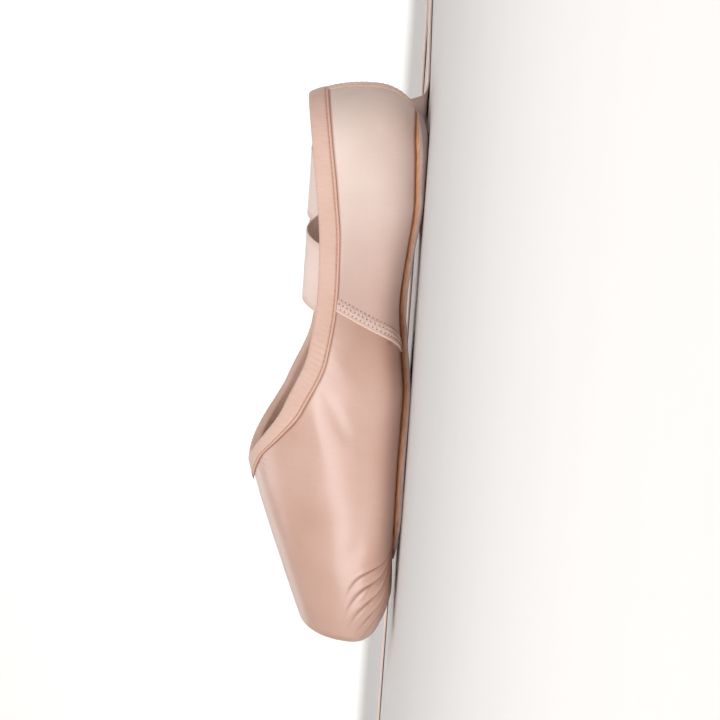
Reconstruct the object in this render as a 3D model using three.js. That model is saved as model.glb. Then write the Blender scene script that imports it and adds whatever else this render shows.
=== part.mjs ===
// Pointe shoe with sewn-in ribbons, standing empty on its sole. Millimetres, +Z up.
// +X runs from the toe platform to the heel, -Y is the side towards the viewer, and the origin
// is on the floor under the middle of the shoe.

import * as THREE from "three";

// Driving dimensions of the last and the wall
const LENGTH = 236;
const HEEL_BACK = LENGTH - 1.25; // the back tape takes the rest
const GAP = 0.3; // between pieces that touch
const STRIP_GAP = 0.45; // under narrow strips laid on the round wall
const PLATFORM_EDGE_RADIUS = 4.5;
const PLATFORM_LEAN = Math.tan(THREE.MathUtils.degToRad(6));
const PLATFORM_FOOT = 13.5; // height where the flat of the platform starts to lean back
const PLATFORM_LEAN_FADES_AT = 60;
const TOP_POWER = 2.2; // how square the sections are above their widest level
const HEEL_SQUARE = 1.05; // above 1, the heel's plan is squarer than an ellipse

// Sections of the last: distance from the toe, half width, heights above the floor, and how square
// the section is below its widest level (2 is an ellipse).
const SECTIONS = [
  { fromToe: 0, halfWidth: 23.8, underside: 9.0, widest: 21.0, crown: 38.5, underPower: 2.6 },
  { fromToe: 6, halfWidth: 26.4, underside: 6.0, widest: 20.6, crown: 41.0, underPower: 2.7 },
  { fromToe: 13, halfWidth: 29.3, underside: 3.7, widest: 20.0, crown: 43.8, underPower: 2.8 },
  { fromToe: 22, halfWidth: 32.4, underside: 2.3, widest: 19.2, crown: 47.3, underPower: 2.9 },
  { fromToe: 36, halfWidth: 36.2, underside: 2.8, widest: 18.5, crown: 52.6, underPower: 3.2 },
  { fromToe: 52, halfWidth: 39.3, underside: 2.8, widest: 18.0, crown: 58.4, underPower: 3.6 },
  { fromToe: 70, halfWidth: 41.0, underside: 2.8, widest: 18.0, crown: 64.2, underPower: 3.6 },
  { fromToe: 88, halfWidth: 40.9, underside: 2.8, widest: 18.0, crown: 68.4, underPower: 3.6 },
  { fromToe: 106, halfWidth: 39.0, underside: 2.8, widest: 18.5, crown: 70.6, underPower: 3.6 },
  { fromToe: 126, halfWidth: 35.2, underside: 5.2, widest: 20.5, crown: 71.0, underPower: 3.4 },
  { fromToe: 146, halfWidth: 31.8, underside: 7.2, widest: 22.0, crown: 70.8, underPower: 3.2 },
  { fromToe: 168, halfWidth: 29.6, underside: 5.4, widest: 22.0, crown: 70.5, underPower: 3.1 },
  { fromToe: 190, halfWidth: 28.8, underside: 2.8, widest: 22.5, crown: 69.0, underPower: 2.9 },
  { fromToe: 236, halfWidth: 28.4, underside: 2.8, widest: 24.5, crown: 62.0, underPower: 2.3 },
];

// Wall of the upper: a stiff paste box in front, cloth alone in the quarters.
const WALL = [
  { fromToe: 0, thickness: 3.8 },
  { fromToe: 30, thickness: 2.6 },
  { fromToe: 70, thickness: 2.0 },
  { fromToe: 115, thickness: 1.5 },
  { fromToe: 236, thickness: 1.5 },
];

// Height of the collar along the sides, and the throat's V in plan.
const COLLAR = [
  { fromToe: 62, height: 65.4 },
  { fromToe: 72, height: 62.4 },
  { fromToe: 84, height: 58.2 },
  { fromToe: 104, height: 50.6 },
  { fromToe: 126, height: 42.4 },
  { fromToe: 150, height: 40.2 },
  { fromToe: 172, height: 41.0 },
  { fromToe: 192, height: 43.6 },
  { fromToe: 212, height: 46.8 },
  { fromToe: 240, height: 51.6 },
];
const THROAT = 68; // platform to the point of the V
const THROAT_SLOPE = 0.36;
const THROAT_BOW = 0.0095;
const THROAT_ROUND = 14; // blends the V into the collar's sides

// Outsole: one leather sole, narrower than the upper, that lets the pleats show in front of it.
const SOLE_OUTLINE = [
  { fromToe: 33, halfWidth: 10 },
  { fromToe: 44, halfWidth: 17.5 },
  { fromToe: 60, halfWidth: 23.5 },
  { fromToe: 80, halfWidth: 26.2 },
  { fromToe: 100, halfWidth: 23.6 },
  { fromToe: 122, halfWidth: 16.4 },
  { fromToe: 142, halfWidth: 12.6 },
  { fromToe: 164, halfWidth: 13.6 },
  { fromToe: 188, halfWidth: 17.2 },
  { fromToe: 210, halfWidth: 18.6 },
  { fromToe: 229, halfWidth: 17.0 },
];
const SOLE_START = 33;
const SOLE_END = 225;
const SOLE_TIP_ROUND = 22; // length over which the toe tip rounds off
const SOLE_HEEL_ROUND = 16;
const SOLE_EDGE_SLOPE = 0.6; // the cut edge slants inwards by this much
const SOLE_MOST = 3.0; // greatest thickness, so that its rim follows the last upwards
// Rise of its lower face off the floor: toe spring, arch and heel.
const SOLE_RISE = [
  { fromToe: 33, rise: 0.9 },
  { fromToe: 50, rise: 0 },
  { fromToe: 106, rise: 0 },
  { fromToe: 126, rise: 2.4 },
  { fromToe: 146, rise: 4.4 },
  { fromToe: 168, rise: 2.6 },
  { fromToe: 190, rise: 0 },
  { fromToe: 220, rise: 0 },
  { fromToe: 229, rise: 0.5 },
];
const UPPER_UNDER_SOLE = 7; // how far the upper's margin runs in under the outsole

// Pleats gathered under the toe
const PLEAT_PITCH = THREE.MathUtils.degToRad(10);
const PLEATS_EACH_SIDE = 6;
const PLEAT_DEPTH = 1.1;
const PLEAT_RUN = { front: 32, side: 20 }; // from the outsole's edge to where a pleat dies out
const COLUMNS_PER_PLEAT = 3;

const INSOLE = { start: 19, end: 225, share: 0.68, thickness: 2, toeRound: 16, heelRound: 22 };
const INSOLE_GAP = 0.75; // over the round inside of the upper
const END_POWER = 2.4; // how square the rounded ends of the two soles are
const SOLE_STATIONS = 36;
const INSOLE_STATIONS = 26;
const PLATE_ACROSS = [-1, -0.75, -0.4, 0, 0.4, 0.75, 1]; // points across, as shares of the half width
const BINDING = { outside: 7.5, inside: 5.5, thickness: 0.9, bead: 1.3 };
const BACK_TAPE = { width: 11, thickness: 0.8, rows: 9, columns: 5 };
const SIDE_SEAM = { low: 128, high: 146, width: 5, thickness: 0.6, rows: 10 };

// Ribbons: woven tape sewn inside the quarters, laid across the mouth and down on the floor.
const RIBBON_WIDTH = 25;
const RIBBON_THICKNESS = 0.6;
const RIBBON_LENGTH = 500;
const RIBBON_END = { fromToe: 146.6, y: 26.1, z: 25 }; // middle of the sewn end
const RIBBON_LEAN = THREE.MathUtils.degToRad(8); // inwards, as it rises along the wall
const NEAR_SLANT = -28; // degrees, towards the heel as it rises
const FAR_SLANT = -24;
const NEAR_FOLD = 30;
const FAR_FOLD = 33.5;
// Each row is a straight run, then a bend about a line across the ribbon that is turned by skew.
const NEAR_RIBBON = [
  { run: 19.3, bend: -122, radius: 7, skew: NEAR_SLANT },
  { run: 11.0, bend: 95, radius: 18, skew: NEAR_SLANT },
  { run: 3.3, bend: -142, radius: 6, skew: NEAR_SLANT },
  { run: 38.2, bend: 87, radius: 9, skew: NEAR_SLANT },
  { run: 130, bend: 183, radius: 1.6, skew: NEAR_FOLD },
  { run: 66, bend: -3, radius: 60, skew: NEAR_FOLD },
];
const FAR_RIBBON = [
  { run: 19.5, bend: -185, radius: 4, skew: FAR_SLANT },
  { run: 37.7, bend: 87, radius: 9, skew: FAR_SLANT },
  { run: 70, bend: 183, radius: 1.6, skew: FAR_FOLD },
  { run: 66, bend: -3, radius: 60, skew: FAR_FOLD },
];
const RIBBON_BEND_STEP = THREE.MathUtils.degToRad(24);

// Columns of the upper fan out from a spine inside the last. Its toe end lies further forward for
// the underside, where the pleats fan out, than for the throat.
const SPINE = { toeBelow: 50, toeAbove: 80, heel: 206, height: 20 };
const SPINE_SHIFT = { from: THREE.MathUtils.degToRad(-25), to: THREE.MathUtils.degToRad(45) };
const SIDE_COLUMNS = 17;
const TOE_CORNER_COLUMNS = 5;
const HEEL_COLUMNS = 20;
const OUTER_ROWS = 20;
const INNER_ROWS = 10;
const TURN_LENGTH = 18; // millimetres of wall that one radian of turn counts for
const COLUMN_SAMPLES = 150;

const MATERIALS = {
  satin: new THREE.MeshStandardMaterial({ color: 0xdcb8a6, roughness: 0.38, metalness: 0 }),
  binding: new THREE.MeshStandardMaterial({ color: 0xe9c7b3, roughness: 0.75, metalness: 0 }),
  leather: new THREE.MeshStandardMaterial({ color: 0xb59c93, roughness: 0.9, metalness: 0 }),
  lining: new THREE.MeshStandardMaterial({ color: 0xe8d8c9, roughness: 0.9, metalness: 0 }),
  ribbon: new THREE.MeshStandardMaterial({ color: 0xe6cdc5, roughness: 0.6, metalness: 0 }),
};

// Smooth value of one column of a table, level between equal neighbours and never overshooting.
function along(rows, column, at) {
  const last = rows.length - 1;
  const x = rows.map((row) => row.fromToe);
  const y = rows.map((row) => row[column]);
  if (at <= x[0]) return y[0];
  if (at >= x[last]) return y[last];
  const chord = (k) => (y[k + 1] - y[k]) / (x[k + 1] - x[k]);
  const slope = (k) => {
    if (k === 0) return chord(0);
    if (k === last) return chord(last - 1);
    const before = chord(k - 1);
    const after = chord(k);
    return before * after <= 0 ? 0 : (2 * before * after) / (before + after);
  };
  const k = x.findIndex((value) => value > at) - 1;
  const step = x[k + 1] - x[k];
  const t = (at - x[k]) / step;
  const rise = (1 - t) * (1 - t) * t * slope(k) - (1 - t) * t * t * slope(k + 1);
  return y[k] + (y[k + 1] - y[k]) * t * t * (3 - 2 * t) + step * rise;
}

const smoothStep = (low, high, value) => THREE.MathUtils.smoothstep(value, low, high);
const place = (fromToe, y, z) => new THREE.Vector3(fromToe - LENGTH / 2, y, z);
const fromToeOf = (point) => point.x + LENGTH / 2;

// The value where a test changes from false at low to true at high.
function turningPoint(low, high, test) {
  for (let step = 0; step < 40; step += 1) {
    const middle = (low + high) / 2;
    if (test(middle)) high = middle;
    else low = middle;
  }
  return (low + high) / 2;
}

// The last: below 0 inside, above 0 outside. The platform is a flat leaning end with a round edge.
function lastAt({ x, y, z }) {
  const fromToe = x + LENGTH / 2;
  const leanShare = Math.max(0, 1 - fromToe / PLATFORM_LEAN_FADES_AT);
  const at = fromToe - PLATFORM_LEAN * Math.max(0, z - PLATFORM_FOOT) * leanShare;
  if (at < 0) return 1;
  const inEdge = Math.max(0, PLATFORM_EDGE_RADIUS - at);
  const edge = PLATFORM_EDGE_RADIUS - Math.sqrt(PLATFORM_EDGE_RADIUS ** 2 - inEdge ** 2);
  const halfWidth = along(SECTIONS, "halfWidth", at) - edge;
  const widest = along(SECTIONS, "widest", at);
  const above = z > widest;
  const power = above ? TOP_POWER : along(SECTIONS, "underPower", at);
  const limit = along(SECTIONS, above ? "crown" : "underside", at);
  const tall = Math.abs(limit - widest) - edge;
  const intoHeel = Math.max(0, (at - SPINE.heel) / (HEEL_BACK - SPINE.heel));
  const inPlan = Math.hypot((Math.abs(y) / halfWidth) ** HEEL_SQUARE, intoHeel ** HEEL_SQUARE);
  return inPlan ** (power / HEEL_SQUARE) + (Math.abs(z - widest) / tall) ** power - 1;
}

// Outward direction of the last's surface.
function lastNormal(point) {
  const step = 0.02;
  const slope = (axis) => {
    const ahead = point.clone();
    const behind = point.clone();
    ahead[axis] += step;
    behind[axis] -= step;
    return lastAt(ahead) - lastAt(behind);
  };
  return new THREE.Vector3(slope("x"), slope("y"), slope("z")).normalize();
}

// Height of the last's underside.
function undersideAt(fromToe, y) {
  const widest = along(SECTIONS, "widest", fromToe);
  const inside = (drop) => lastAt(place(fromToe, y, widest - drop)) > 0;
  return widest - turningPoint(0, widest, inside);
}

const wallAt = (point) => along(WALL, "thickness", fromToeOf(point));

// The foot's opening: above 0 where the upper is cut away.
function openingAt(point) {
  const across = Math.abs(point.y);
  const behindThroat = fromToeOf(point) - THROAT - THROAT_SLOPE * across - THROAT_BOW * across ** 2;
  const overCollar = point.z - along(COLLAR, "height", fromToeOf(point));
  const near = Math.max(0, THROAT_ROUND - Math.abs(behindThroat - overCollar)) / THROAT_ROUND;
  return Math.min(behindThroat, overCollar) - (near * near * THROAT_ROUND) / 4;
}

// Share of the width that is left, from how far a place is into either rounded end.
function endRounding(intoTip, intoHeel) {
  return Math.sqrt(Math.max(0, (1 - intoTip ** END_POWER) * (1 - intoHeel ** END_POWER)));
}

// Half width of the outsole, with its ends rounded off.
function soleHalfWidth(fromToe) {
  const intoTip = Math.max(0, (SOLE_START + SOLE_TIP_ROUND - fromToe) / SOLE_TIP_ROUND);
  const intoHeel = Math.max(0, (fromToe - SOLE_END + SOLE_HEEL_ROUND) / SOLE_HEEL_ROUND);
  return along(SOLE_OUTLINE, "halfWidth", fromToe) * endRounding(intoTip, intoHeel);
}

// A column is a line up the outside of the upper. It leaves the spine with a heading: 0 to the
// toe, a quarter turn to either side, a half turn to the heel. Its place on the spine moves from
// below to above as it rises.
function makeColumn(below, above, heading) {
  const ahead = new THREE.Vector3(-Math.cos(heading), Math.sin(heading), 0);
  const inPlan = (distance) => place(below, 0, SPINE.height).addScaledVector(ahead, distance);
  const offSole = (distance) => {
    const point = inPlan(distance);
    return Math.abs(point.y) >= soleHalfWidth(fromToeOf(point));
  };
  const soleEdge = turningPoint(0, LENGTH / 2, offSole);
  const onLast = (elevation) => {
    const shift = smoothStep(SPINE_SHIFT.from, SPINE_SHIFT.to, elevation);
    const start = place(THREE.MathUtils.lerp(below, above, shift), 0, SPINE.height);
    const ray = ahead.clone().multiplyScalar(Math.cos(elevation));
    ray.z = Math.sin(elevation);
    const outside = (distance) => lastAt(start.clone().addScaledVector(ray, distance)) > 0;
    return start.addScaledVector(ray, turningPoint(0, LENGTH / 2, outside));
  };
  const elevationBelow = (distance) => {
    const point = inPlan(distance);
    return Math.atan2(undersideAt(fromToeOf(point), point.y) - SPINE.height, distance);
  };
  const lowest = elevationBelow(soleEdge - UPPER_UNDER_SOLE);
  const isOpen = (elevation) => openingAt(onLast(elevation)) > 0;
  let highest = lowest;
  while (!isOpen(highest)) highest += Math.PI / COLUMN_SAMPLES;
  highest = turningPoint(highest - Math.PI / COLUMN_SAMPLES, highest, isOpen);
  const points = [];
  for (let k = 0; k <= COLUMN_SAMPLES; k += 1) {
    points.push(onLast(lowest + ((highest - lowest) * k) / COLUMN_SAMPLES));
  }
  const lengths = [0];
  for (let k = 1; k < points.length; k += 1) {
    lengths.push(lengths[k - 1] + points[k].distanceTo(points[k - 1]));
  }
  const soleElevation = elevationBelow(soleEdge);
  const soleShare = (soleElevation - lowest) / (highest - lowest);
  const soleLength = lengths[Math.round(soleShare * COLUMN_SAMPLES)];
  return { heading, points, lengths, soleLength, length: lengths.at(-1) };
}

// The point at a distance up a column from its lower end.
function upColumn(column, distance) {
  const passed = column.lengths.filter((length) => length <= distance).length;
  const k = THREE.MathUtils.clamp(passed - 1, 0, COLUMN_SAMPLES - 1);
  const span = column.lengths[k + 1] - column.lengths[k];
  const share = THREE.MathUtils.clamp((distance - column.lengths[k]) / span, 0, 1);
  return column.points[k].clone().lerp(column.points[k + 1], share);
}

// Distances up a column as far as a top one, close together where the wall turns sharply.
function rowDistances(column, top, rows) {
  const weights = [0];
  const lengths = column.lengths.filter((length) => length < top);
  for (let k = 1; k < lengths.length; k += 1) {
    const turn = lastNormal(column.points[k]).angleTo(lastNormal(column.points[k - 1]));
    weights.push(weights[k - 1] + lengths[k] - lengths[k - 1] + TURN_LENGTH * turn);
  }
  weights.push(weights.at(-1) + top - lengths.at(-1));
  lengths.push(top);
  return Array.from({ length: rows }, (_, row) => {
    const wanted = (weights.at(-1) * row) / (rows - 1);
    const k = Math.max(1, weights.findIndex((weight) => weight >= wanted - 1e-9));
    const share = (wanted - weights[k - 1]) / (weights[k] - weights[k - 1]);
    return THREE.MathUtils.lerp(lengths[k - 1], lengths[k], share);
  });
}

// All columns in order round the shoe: near side, toe, far side, heel.
function columnsRoundShoe() {
  const columns = [];
  const quarter = Math.PI / 2;
  const pleated = PLEATS_EACH_SIDE * PLEAT_PITCH;
  const addSide = (share, heading) => {
    const below = THREE.MathUtils.lerp(SPINE.heel, SPINE.toeBelow, share);
    const above = THREE.MathUtils.lerp(SPINE.heel, SPINE.toeAbove, share);
    columns.push(makeColumn(below, above, heading));
  };
  const addFan = (from, to, count, below, above) => {
    for (let k = 0; k < count; k += 1) {
      columns.push(makeColumn(below, above, THREE.MathUtils.lerp(from, to, k / count)));
    }
  };
  const addToe = (from, to, count) => addFan(from, to, count, SPINE.toeBelow, SPINE.toeAbove);
  for (let k = 0; k < SIDE_COLUMNS; k += 1) addSide(k / SIDE_COLUMNS, -quarter);
  addToe(-quarter, -pleated, TOE_CORNER_COLUMNS);
  addToe(-pleated, pleated, 2 * PLEATS_EACH_SIDE * COLUMNS_PER_PLEAT);
  addToe(pleated, quarter, TOE_CORNER_COLUMNS);
  for (let k = SIDE_COLUMNS; k > 0; k -= 1) addSide(k / SIDE_COLUMNS, quarter);
  addFan(quarter, 3 * quarter, HEEL_COLUMNS, SPINE.heel, SPINE.heel);
  return columns;
}

// How deep a pleat sinks the wall: sharp valleys that fade out beyond the outsole's edge.
function pleatDepth(column, distance) {
  const aside = Math.abs(column.heading) / (PLEATS_EACH_SIDE * PLEAT_PITCH);
  if (aside > 1) return 0;
  const ridge = Math.abs(Math.sin((Math.PI * column.heading) / PLEAT_PITCH));
  const run = THREE.MathUtils.lerp(PLEAT_RUN.front, PLEAT_RUN.side, aside);
  const fade = 1 - smoothStep(0, run, distance - column.soleLength);
  return PLEAT_DEPTH * (1 - ridge) * fade;
}

// A closed solid through loops of points. A loop goes out along one face and back along the other.
// Each four-cornered patch is split along its shorter diagonal.
function sweep(loops, isRing) {
  const size = loops[0].length;
  const points = loops.flat();
  const positions = points.flatMap((point) => point.toArray());
  const faces = [];
  const addQuad = (a, b, c, d) => {
    const splitsOnAC = points[a].distanceTo(points[c]) <= points[b].distanceTo(points[d]);
    if (splitsOnAC) faces.push(a, b, c, a, c, d);
    else faces.push(a, b, d, b, c, d);
  };
  const bands = isRing ? loops.length : loops.length - 1;
  for (let band = 0; band < bands; band += 1) {
    const here = band * size;
    const next = ((band + 1) % loops.length) * size;
    for (let k = 0; k < size; k += 1) {
      const after = (k + 1) % size;
      addQuad(here + k, here + after, next + after, next + k);
    }
  }
  if (!isRing) {
    const end = (loops.length - 1) * size;
    for (let k = 0; k < size / 2 - 1; k += 1) {
      addQuad(k, size - 1 - k, size - 2 - k, k + 1);
      addQuad(end + k, end + k + 1, end + size - 2 - k, end + size - 1 - k);
    }
  }
  const geometry = new THREE.BufferGeometry();
  geometry.setAttribute("position", new THREE.Float32BufferAttribute(positions, 3));
  geometry.setIndex(volumeOf(positions, faces) < 0 ? faces.reverse() : faces);
  geometry.computeVertexNormals();
  return geometry;
}

function volumeOf(positions, faces) {
  const corner = (index) => new THREE.Vector3().fromArray(positions, 3 * index);
  let volume = 0;
  for (let k = 0; k < faces.length; k += 3) {
    const [a, b, c] = [corner(faces[k]), corner(faces[k + 1]), corner(faces[k + 2])];
    volume += a.dot(b.cross(c)) / 6;
  }
  return volume;
}

function addPiece(group, name, geometry, material) {
  const piece = new THREE.Mesh(geometry, material);
  piece.name = name;
  group.add(piece);
}

const offset = (point, distance) => point.clone().addScaledVector(lastNormal(point), distance);

// Upper: outside from the margin under the sole up to the collar, then down the inside.
// Under the binding its rows are those of the binding.
function makeUpper(columns) {
  const { outside, inside } = BINDING;
  const loops = columns.map((column) => {
    const { length } = column;
    const outerRows = [...rowDistances(column, length - outside, OUTER_ROWS), length - outside / 2, length];
    const innerRows = [...rowDistances(column, length - inside, INNER_ROWS), length];
    const outer = outerRows.map((distance) =>
      offset(upColumn(column, distance), -pleatDepth(column, distance)),
    );
    const inner = innerRows.map((distance) => {
      const point = upColumn(column, distance);
      return offset(point, -wallAt(point));
    });
    return [...outer, ...inner.reverse()];
  });
  return sweep(loops, true);
}

// Binding: a folded casing that wraps the collar's edge.
function makeBinding(columns) {
  const { outside, inside, thickness, bead } = BINDING;
  const loops = columns.map((column) => {
    const edge = upColumn(column, column.length);
    const low = upColumn(column, column.length - outside);
    const middle = upColumn(column, column.length - outside / 2);
    const lining = upColumn(column, column.length - inside);
    const wall = wallAt(edge);
    const up = edge.clone().sub(middle).normalize();
    const raised = (point, distance, lift) => offset(point, distance).addScaledVector(up, lift);
    return [
      offset(low, GAP + thickness / 2),
      offset(middle, GAP + thickness),
      raised(edge, GAP + thickness, GAP),
      raised(edge, -wall / 2, GAP + bead),
      raised(edge, -wall - GAP - thickness, GAP),
      offset(lining, -wallAt(lining) - GAP - thickness / 2),
      offset(lining, -wallAt(lining) - GAP),
      raised(edge, -wall - GAP, GAP),
      raised(edge, GAP, GAP),
      offset(middle, GAP),
      offset(low, GAP),
    ];
  });
  return sweep(loops, true);
}

// A plate along the shoe: stations from start to end, each with points across its half width.
function makePlate(stations, halfWidthAt, lowerAt, upperAt, lowerInset) {
  const loops = stations.map((fromToe) => {
    const halfWidth = halfWidthAt(fromToe);
    const lowerHalf = Math.max(halfWidth - lowerInset, halfWidth / 2);
    const lower = PLATE_ACROSS.map((share) => {
      const y = share * lowerHalf;
      return place(fromToe, y, lowerAt(fromToe, y));
    });
    const upper = PLATE_ACROSS.map((share) => {
      const y = share * halfWidth;
      return place(fromToe, y, upperAt(fromToe, y));
    });
    return [...lower, ...upper.reverse()];
  });
  return sweep(loops, false);
}

// Stations that crowd together at both rounded ends.
function endedStations(start, end, count) {
  return Array.from({ length: count }, (_, k) => {
    const share = (k + 0.5) / count;
    return start + (end - start) * (0.5 - 0.5 * Math.cos(Math.PI * share));
  });
}

function makeOutsole() {
  const stations = endedStations(SOLE_START, SOLE_END, SOLE_STATIONS);
  const upperAt = (fromToe, y) => undersideAt(fromToe, y) - GAP;
  const lowerAt = (fromToe, y) =>
    Math.max(along(SOLE_RISE, "rise", fromToe), upperAt(fromToe, y) - SOLE_MOST);
  return makePlate(stations, soleHalfWidth, lowerAt, upperAt, SOLE_EDGE_SLOPE);
}

function makeInsole() {
  const { start, end, share, thickness, toeRound, heelRound } = INSOLE;
  const halfWidthAt = (fromToe) => {
    const intoToe = Math.max(0, (start + toeRound - fromToe) / toeRound);
    const intoHeel = Math.max(0, (fromToe - end + heelRound) / heelRound);
    return along(SECTIONS, "halfWidth", fromToe) * share * endRounding(intoToe, intoHeel);
  };
  const lowerAt = (fromToe, y) =>
    undersideAt(fromToe, y) + along(WALL, "thickness", fromToe) + INSOLE_GAP;
  const upperAt = (fromToe, y) => lowerAt(fromToe, y) + thickness;
  return makePlate(endedStations(start, end, INSOLE_STATIONS), halfWidthAt, lowerAt, upperAt, 0);
}

// A strip laid on the outside of the upper, through points on the last.
function makeStrip(rows, thickness) {
  const loops = rows.map((points) => {
    const under = points.map((point) => offset(point, STRIP_GAP));
    const over = points.map((point) => offset(point, STRIP_GAP + thickness));
    return [...under, ...over.reverse()];
  });
  return sweep(loops, false);
}

// Back tape: covers the seam up the middle of the heel, from the outsole to the binding.
function makeBackTape() {
  const { width, thickness, rows, columns } = BACK_TAPE;
  const halfAngle = width / 2 / (HEEL_BACK - SPINE.heel);
  const tapeColumns = Array.from({ length: columns }, (_, k) =>
    makeColumn(SPINE.heel, SPINE.heel, Math.PI + halfAngle * ((2 * k) / (columns - 1) - 1)),
  );
  const stripRows = Array.from({ length: rows }, (_, row) =>
    tapeColumns.map((column) => {
      const low = column.soleLength + 3;
      const high = column.length - BINDING.outside - GAP;
      return upColumn(column, THREE.MathUtils.lerp(low, high, row / (rows - 1)));
    }),
  );
  return makeStrip(stripRows, thickness);
}

// Side seam: the raised join between vamp and quarter, leaning back as it rises.
function makeSideSeam(side) {
  const { low, high, width, thickness, rows } = SIDE_SEAM;
  const stripRows = Array.from({ length: rows }, (_, row) => {
    const share = row / (rows - 1);
    const middle = THREE.MathUtils.lerp(low, high, share);
    return [-width / 2, 0, width / 2].map((shift) => {
      const column = makeColumn(middle + shift, middle + shift, (side * Math.PI) / 2);
      const start = column.soleLength + 1;
      const end = column.length - BINDING.outside - GAP;
      return upColumn(column, THREE.MathUtils.lerp(start, end, share));
    });
  });
  return makeStrip(stripRows, thickness);
}

// The point of a laid ribbon at a distance along it and across it, and its face's direction there.
// The ribbon never stretches: it runs straight, and rolls over a round line at each bend.
function ribbonPoint(start, bends, distance, across) {
  const origin = start.origin.clone();
  const run = start.run.clone();
  const wide = start.wide.clone();
  let ahead = distance;
  for (const row of bends) {
    const skew = THREE.MathUtils.degToRad(row.skew);
    const angle = THREE.MathUtils.degToRad(row.bend);
    const wholeRoll = row.radius * Math.abs(angle);
    const face = run.clone().cross(wide);
    const axis = wide.clone().multiplyScalar(Math.cos(skew)).addScaledVector(run, Math.sin(skew));
    const forward = run.clone().multiplyScalar(Math.cos(skew)).addScaledVector(wide, -Math.sin(skew));
    const pastStart = (ahead - row.run) * Math.cos(skew) - across * Math.sin(skew);
    if (pastStart <= 0) break;
    const roll = Math.min(pastStart, wholeRoll);
    const turned = (roll / wholeRoll) * angle;
    origin.addScaledVector(run, row.run);
    origin.addScaledVector(forward, row.radius * Math.sin(Math.abs(turned)));
    origin.addScaledVector(face, Math.sign(angle) * row.radius * (1 - Math.cos(turned)));
    forward.multiplyScalar(Math.cos(turned)).addScaledVector(face, Math.sin(turned));
    run.copy(forward).multiplyScalar(Math.cos(skew)).addScaledVector(axis, Math.sin(skew));
    wide.copy(axis).multiplyScalar(Math.cos(skew)).addScaledVector(forward, -Math.sin(skew));
    // Back onto the ribbon's middle line, where it leaves the bend
    origin.addScaledVector(wide, roll * Math.sin(skew));
    origin.addScaledVector(run, roll * Math.sin(skew) * Math.tan(skew));
    ahead -= row.run + roll / Math.cos(skew);
    if (roll < wholeRoll) break;
  }
  const face = run.clone().cross(wide);
  return { point: origin.addScaledVector(run, ahead).addScaledVector(wide, across), face };
}

// Lines across the ribbon, parallel to the bend that they lie on.
function ribbonLines(bends) {
  const lines = [{ at: 0, skew: 0 }];
  let at = 0;
  for (const row of bends) {
    const skew = THREE.MathUtils.degToRad(row.skew);
    const angle = THREE.MathUtils.degToRad(Math.abs(row.bend));
    const steps = Math.max(2, Math.ceil(angle / RIBBON_BEND_STEP));
    const rolled = (row.radius * angle) / Math.cos(skew);
    at += row.run;
    for (let k = 0; k <= steps; k += 1) lines.push({ at: at + (rolled * k) / steps, skew });
    at += rolled;
  }
  lines.push({ at: RIBBON_LENGTH, skew: 0 });
  return lines;
}

function makeRibbon(side, bends) {
  const slant = THREE.MathUtils.degToRad(bends[0].skew);
  const upWall = new THREE.Vector3(0, -side * Math.sin(RIBBON_LEAN), Math.cos(RIBBON_LEAN));
  const toToe = new THREE.Vector3(-1, 0, 0);
  const run = upWall.clone().multiplyScalar(Math.cos(slant)).addScaledVector(toToe, Math.sin(slant));
  const wide = toToe.clone().multiplyScalar(Math.cos(slant)).addScaledVector(upWall, -Math.sin(slant));
  const origin = place(RIBBON_END.fromToe, side * RIBBON_END.y, RIBBON_END.z);
  const start = { origin, run, wide };
  const loops = ribbonLines(bends).map(({ at, skew }) => {
    const edges = [-RIBBON_WIDTH / 2, RIBBON_WIDTH / 2].map((across) =>
      ribbonPoint(start, bends, at + across * Math.tan(skew), across),
    );
    const face = (edge, distance) => edge.point.clone().addScaledVector(edge.face, distance);
    return [
      ...edges.map((edge) => face(edge, RIBBON_THICKNESS / 2)),
      ...edges.map((edge) => face(edge, -RIBBON_THICKNESS / 2)).reverse(),
    ];
  });
  return sweep(loops, false);
}

const NEAR = -1;
const FAR = 1;
const shoe = new THREE.Group();
const columns = columnsRoundShoe();
addPiece(shoe, "upper", makeUpper(columns), MATERIALS.satin);
addPiece(shoe, "outsole", makeOutsole(), MATERIALS.leather);
addPiece(shoe, "insole", makeInsole(), MATERIALS.lining);
addPiece(shoe, "binding", makeBinding(columns), MATERIALS.binding);
addPiece(shoe, "back_tape", makeBackTape(), MATERIALS.satin);
addPiece(shoe, "side_seam_near", makeSideSeam(NEAR), MATERIALS.satin);
addPiece(shoe, "side_seam_far", makeSideSeam(FAR), MATERIALS.satin);
addPiece(shoe, "ribbon_near", makeRibbon(NEAR, NEAR_RIBBON), MATERIALS.ribbon);
addPiece(shoe, "ribbon_far", makeRibbon(FAR, FAR_RIBBON), MATERIALS.ribbon);

export default shoe;
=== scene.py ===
import math

import bpy
import numpy as np
from mathutils import Matrix, Quaternion, Vector


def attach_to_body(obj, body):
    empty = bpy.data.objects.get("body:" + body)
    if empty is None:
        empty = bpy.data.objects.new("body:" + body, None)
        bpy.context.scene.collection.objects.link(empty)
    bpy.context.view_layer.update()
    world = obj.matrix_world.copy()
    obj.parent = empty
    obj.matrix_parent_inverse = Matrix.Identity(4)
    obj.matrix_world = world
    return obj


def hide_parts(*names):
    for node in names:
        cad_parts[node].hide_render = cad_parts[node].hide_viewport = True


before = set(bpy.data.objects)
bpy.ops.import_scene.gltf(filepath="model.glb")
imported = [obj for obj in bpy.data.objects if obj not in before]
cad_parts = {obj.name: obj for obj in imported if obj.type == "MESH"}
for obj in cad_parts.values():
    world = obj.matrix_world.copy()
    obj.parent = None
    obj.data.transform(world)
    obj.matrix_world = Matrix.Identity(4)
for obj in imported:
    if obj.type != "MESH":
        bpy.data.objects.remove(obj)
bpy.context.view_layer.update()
bpy.ops.object.select_all(action="DESELECT")

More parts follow.
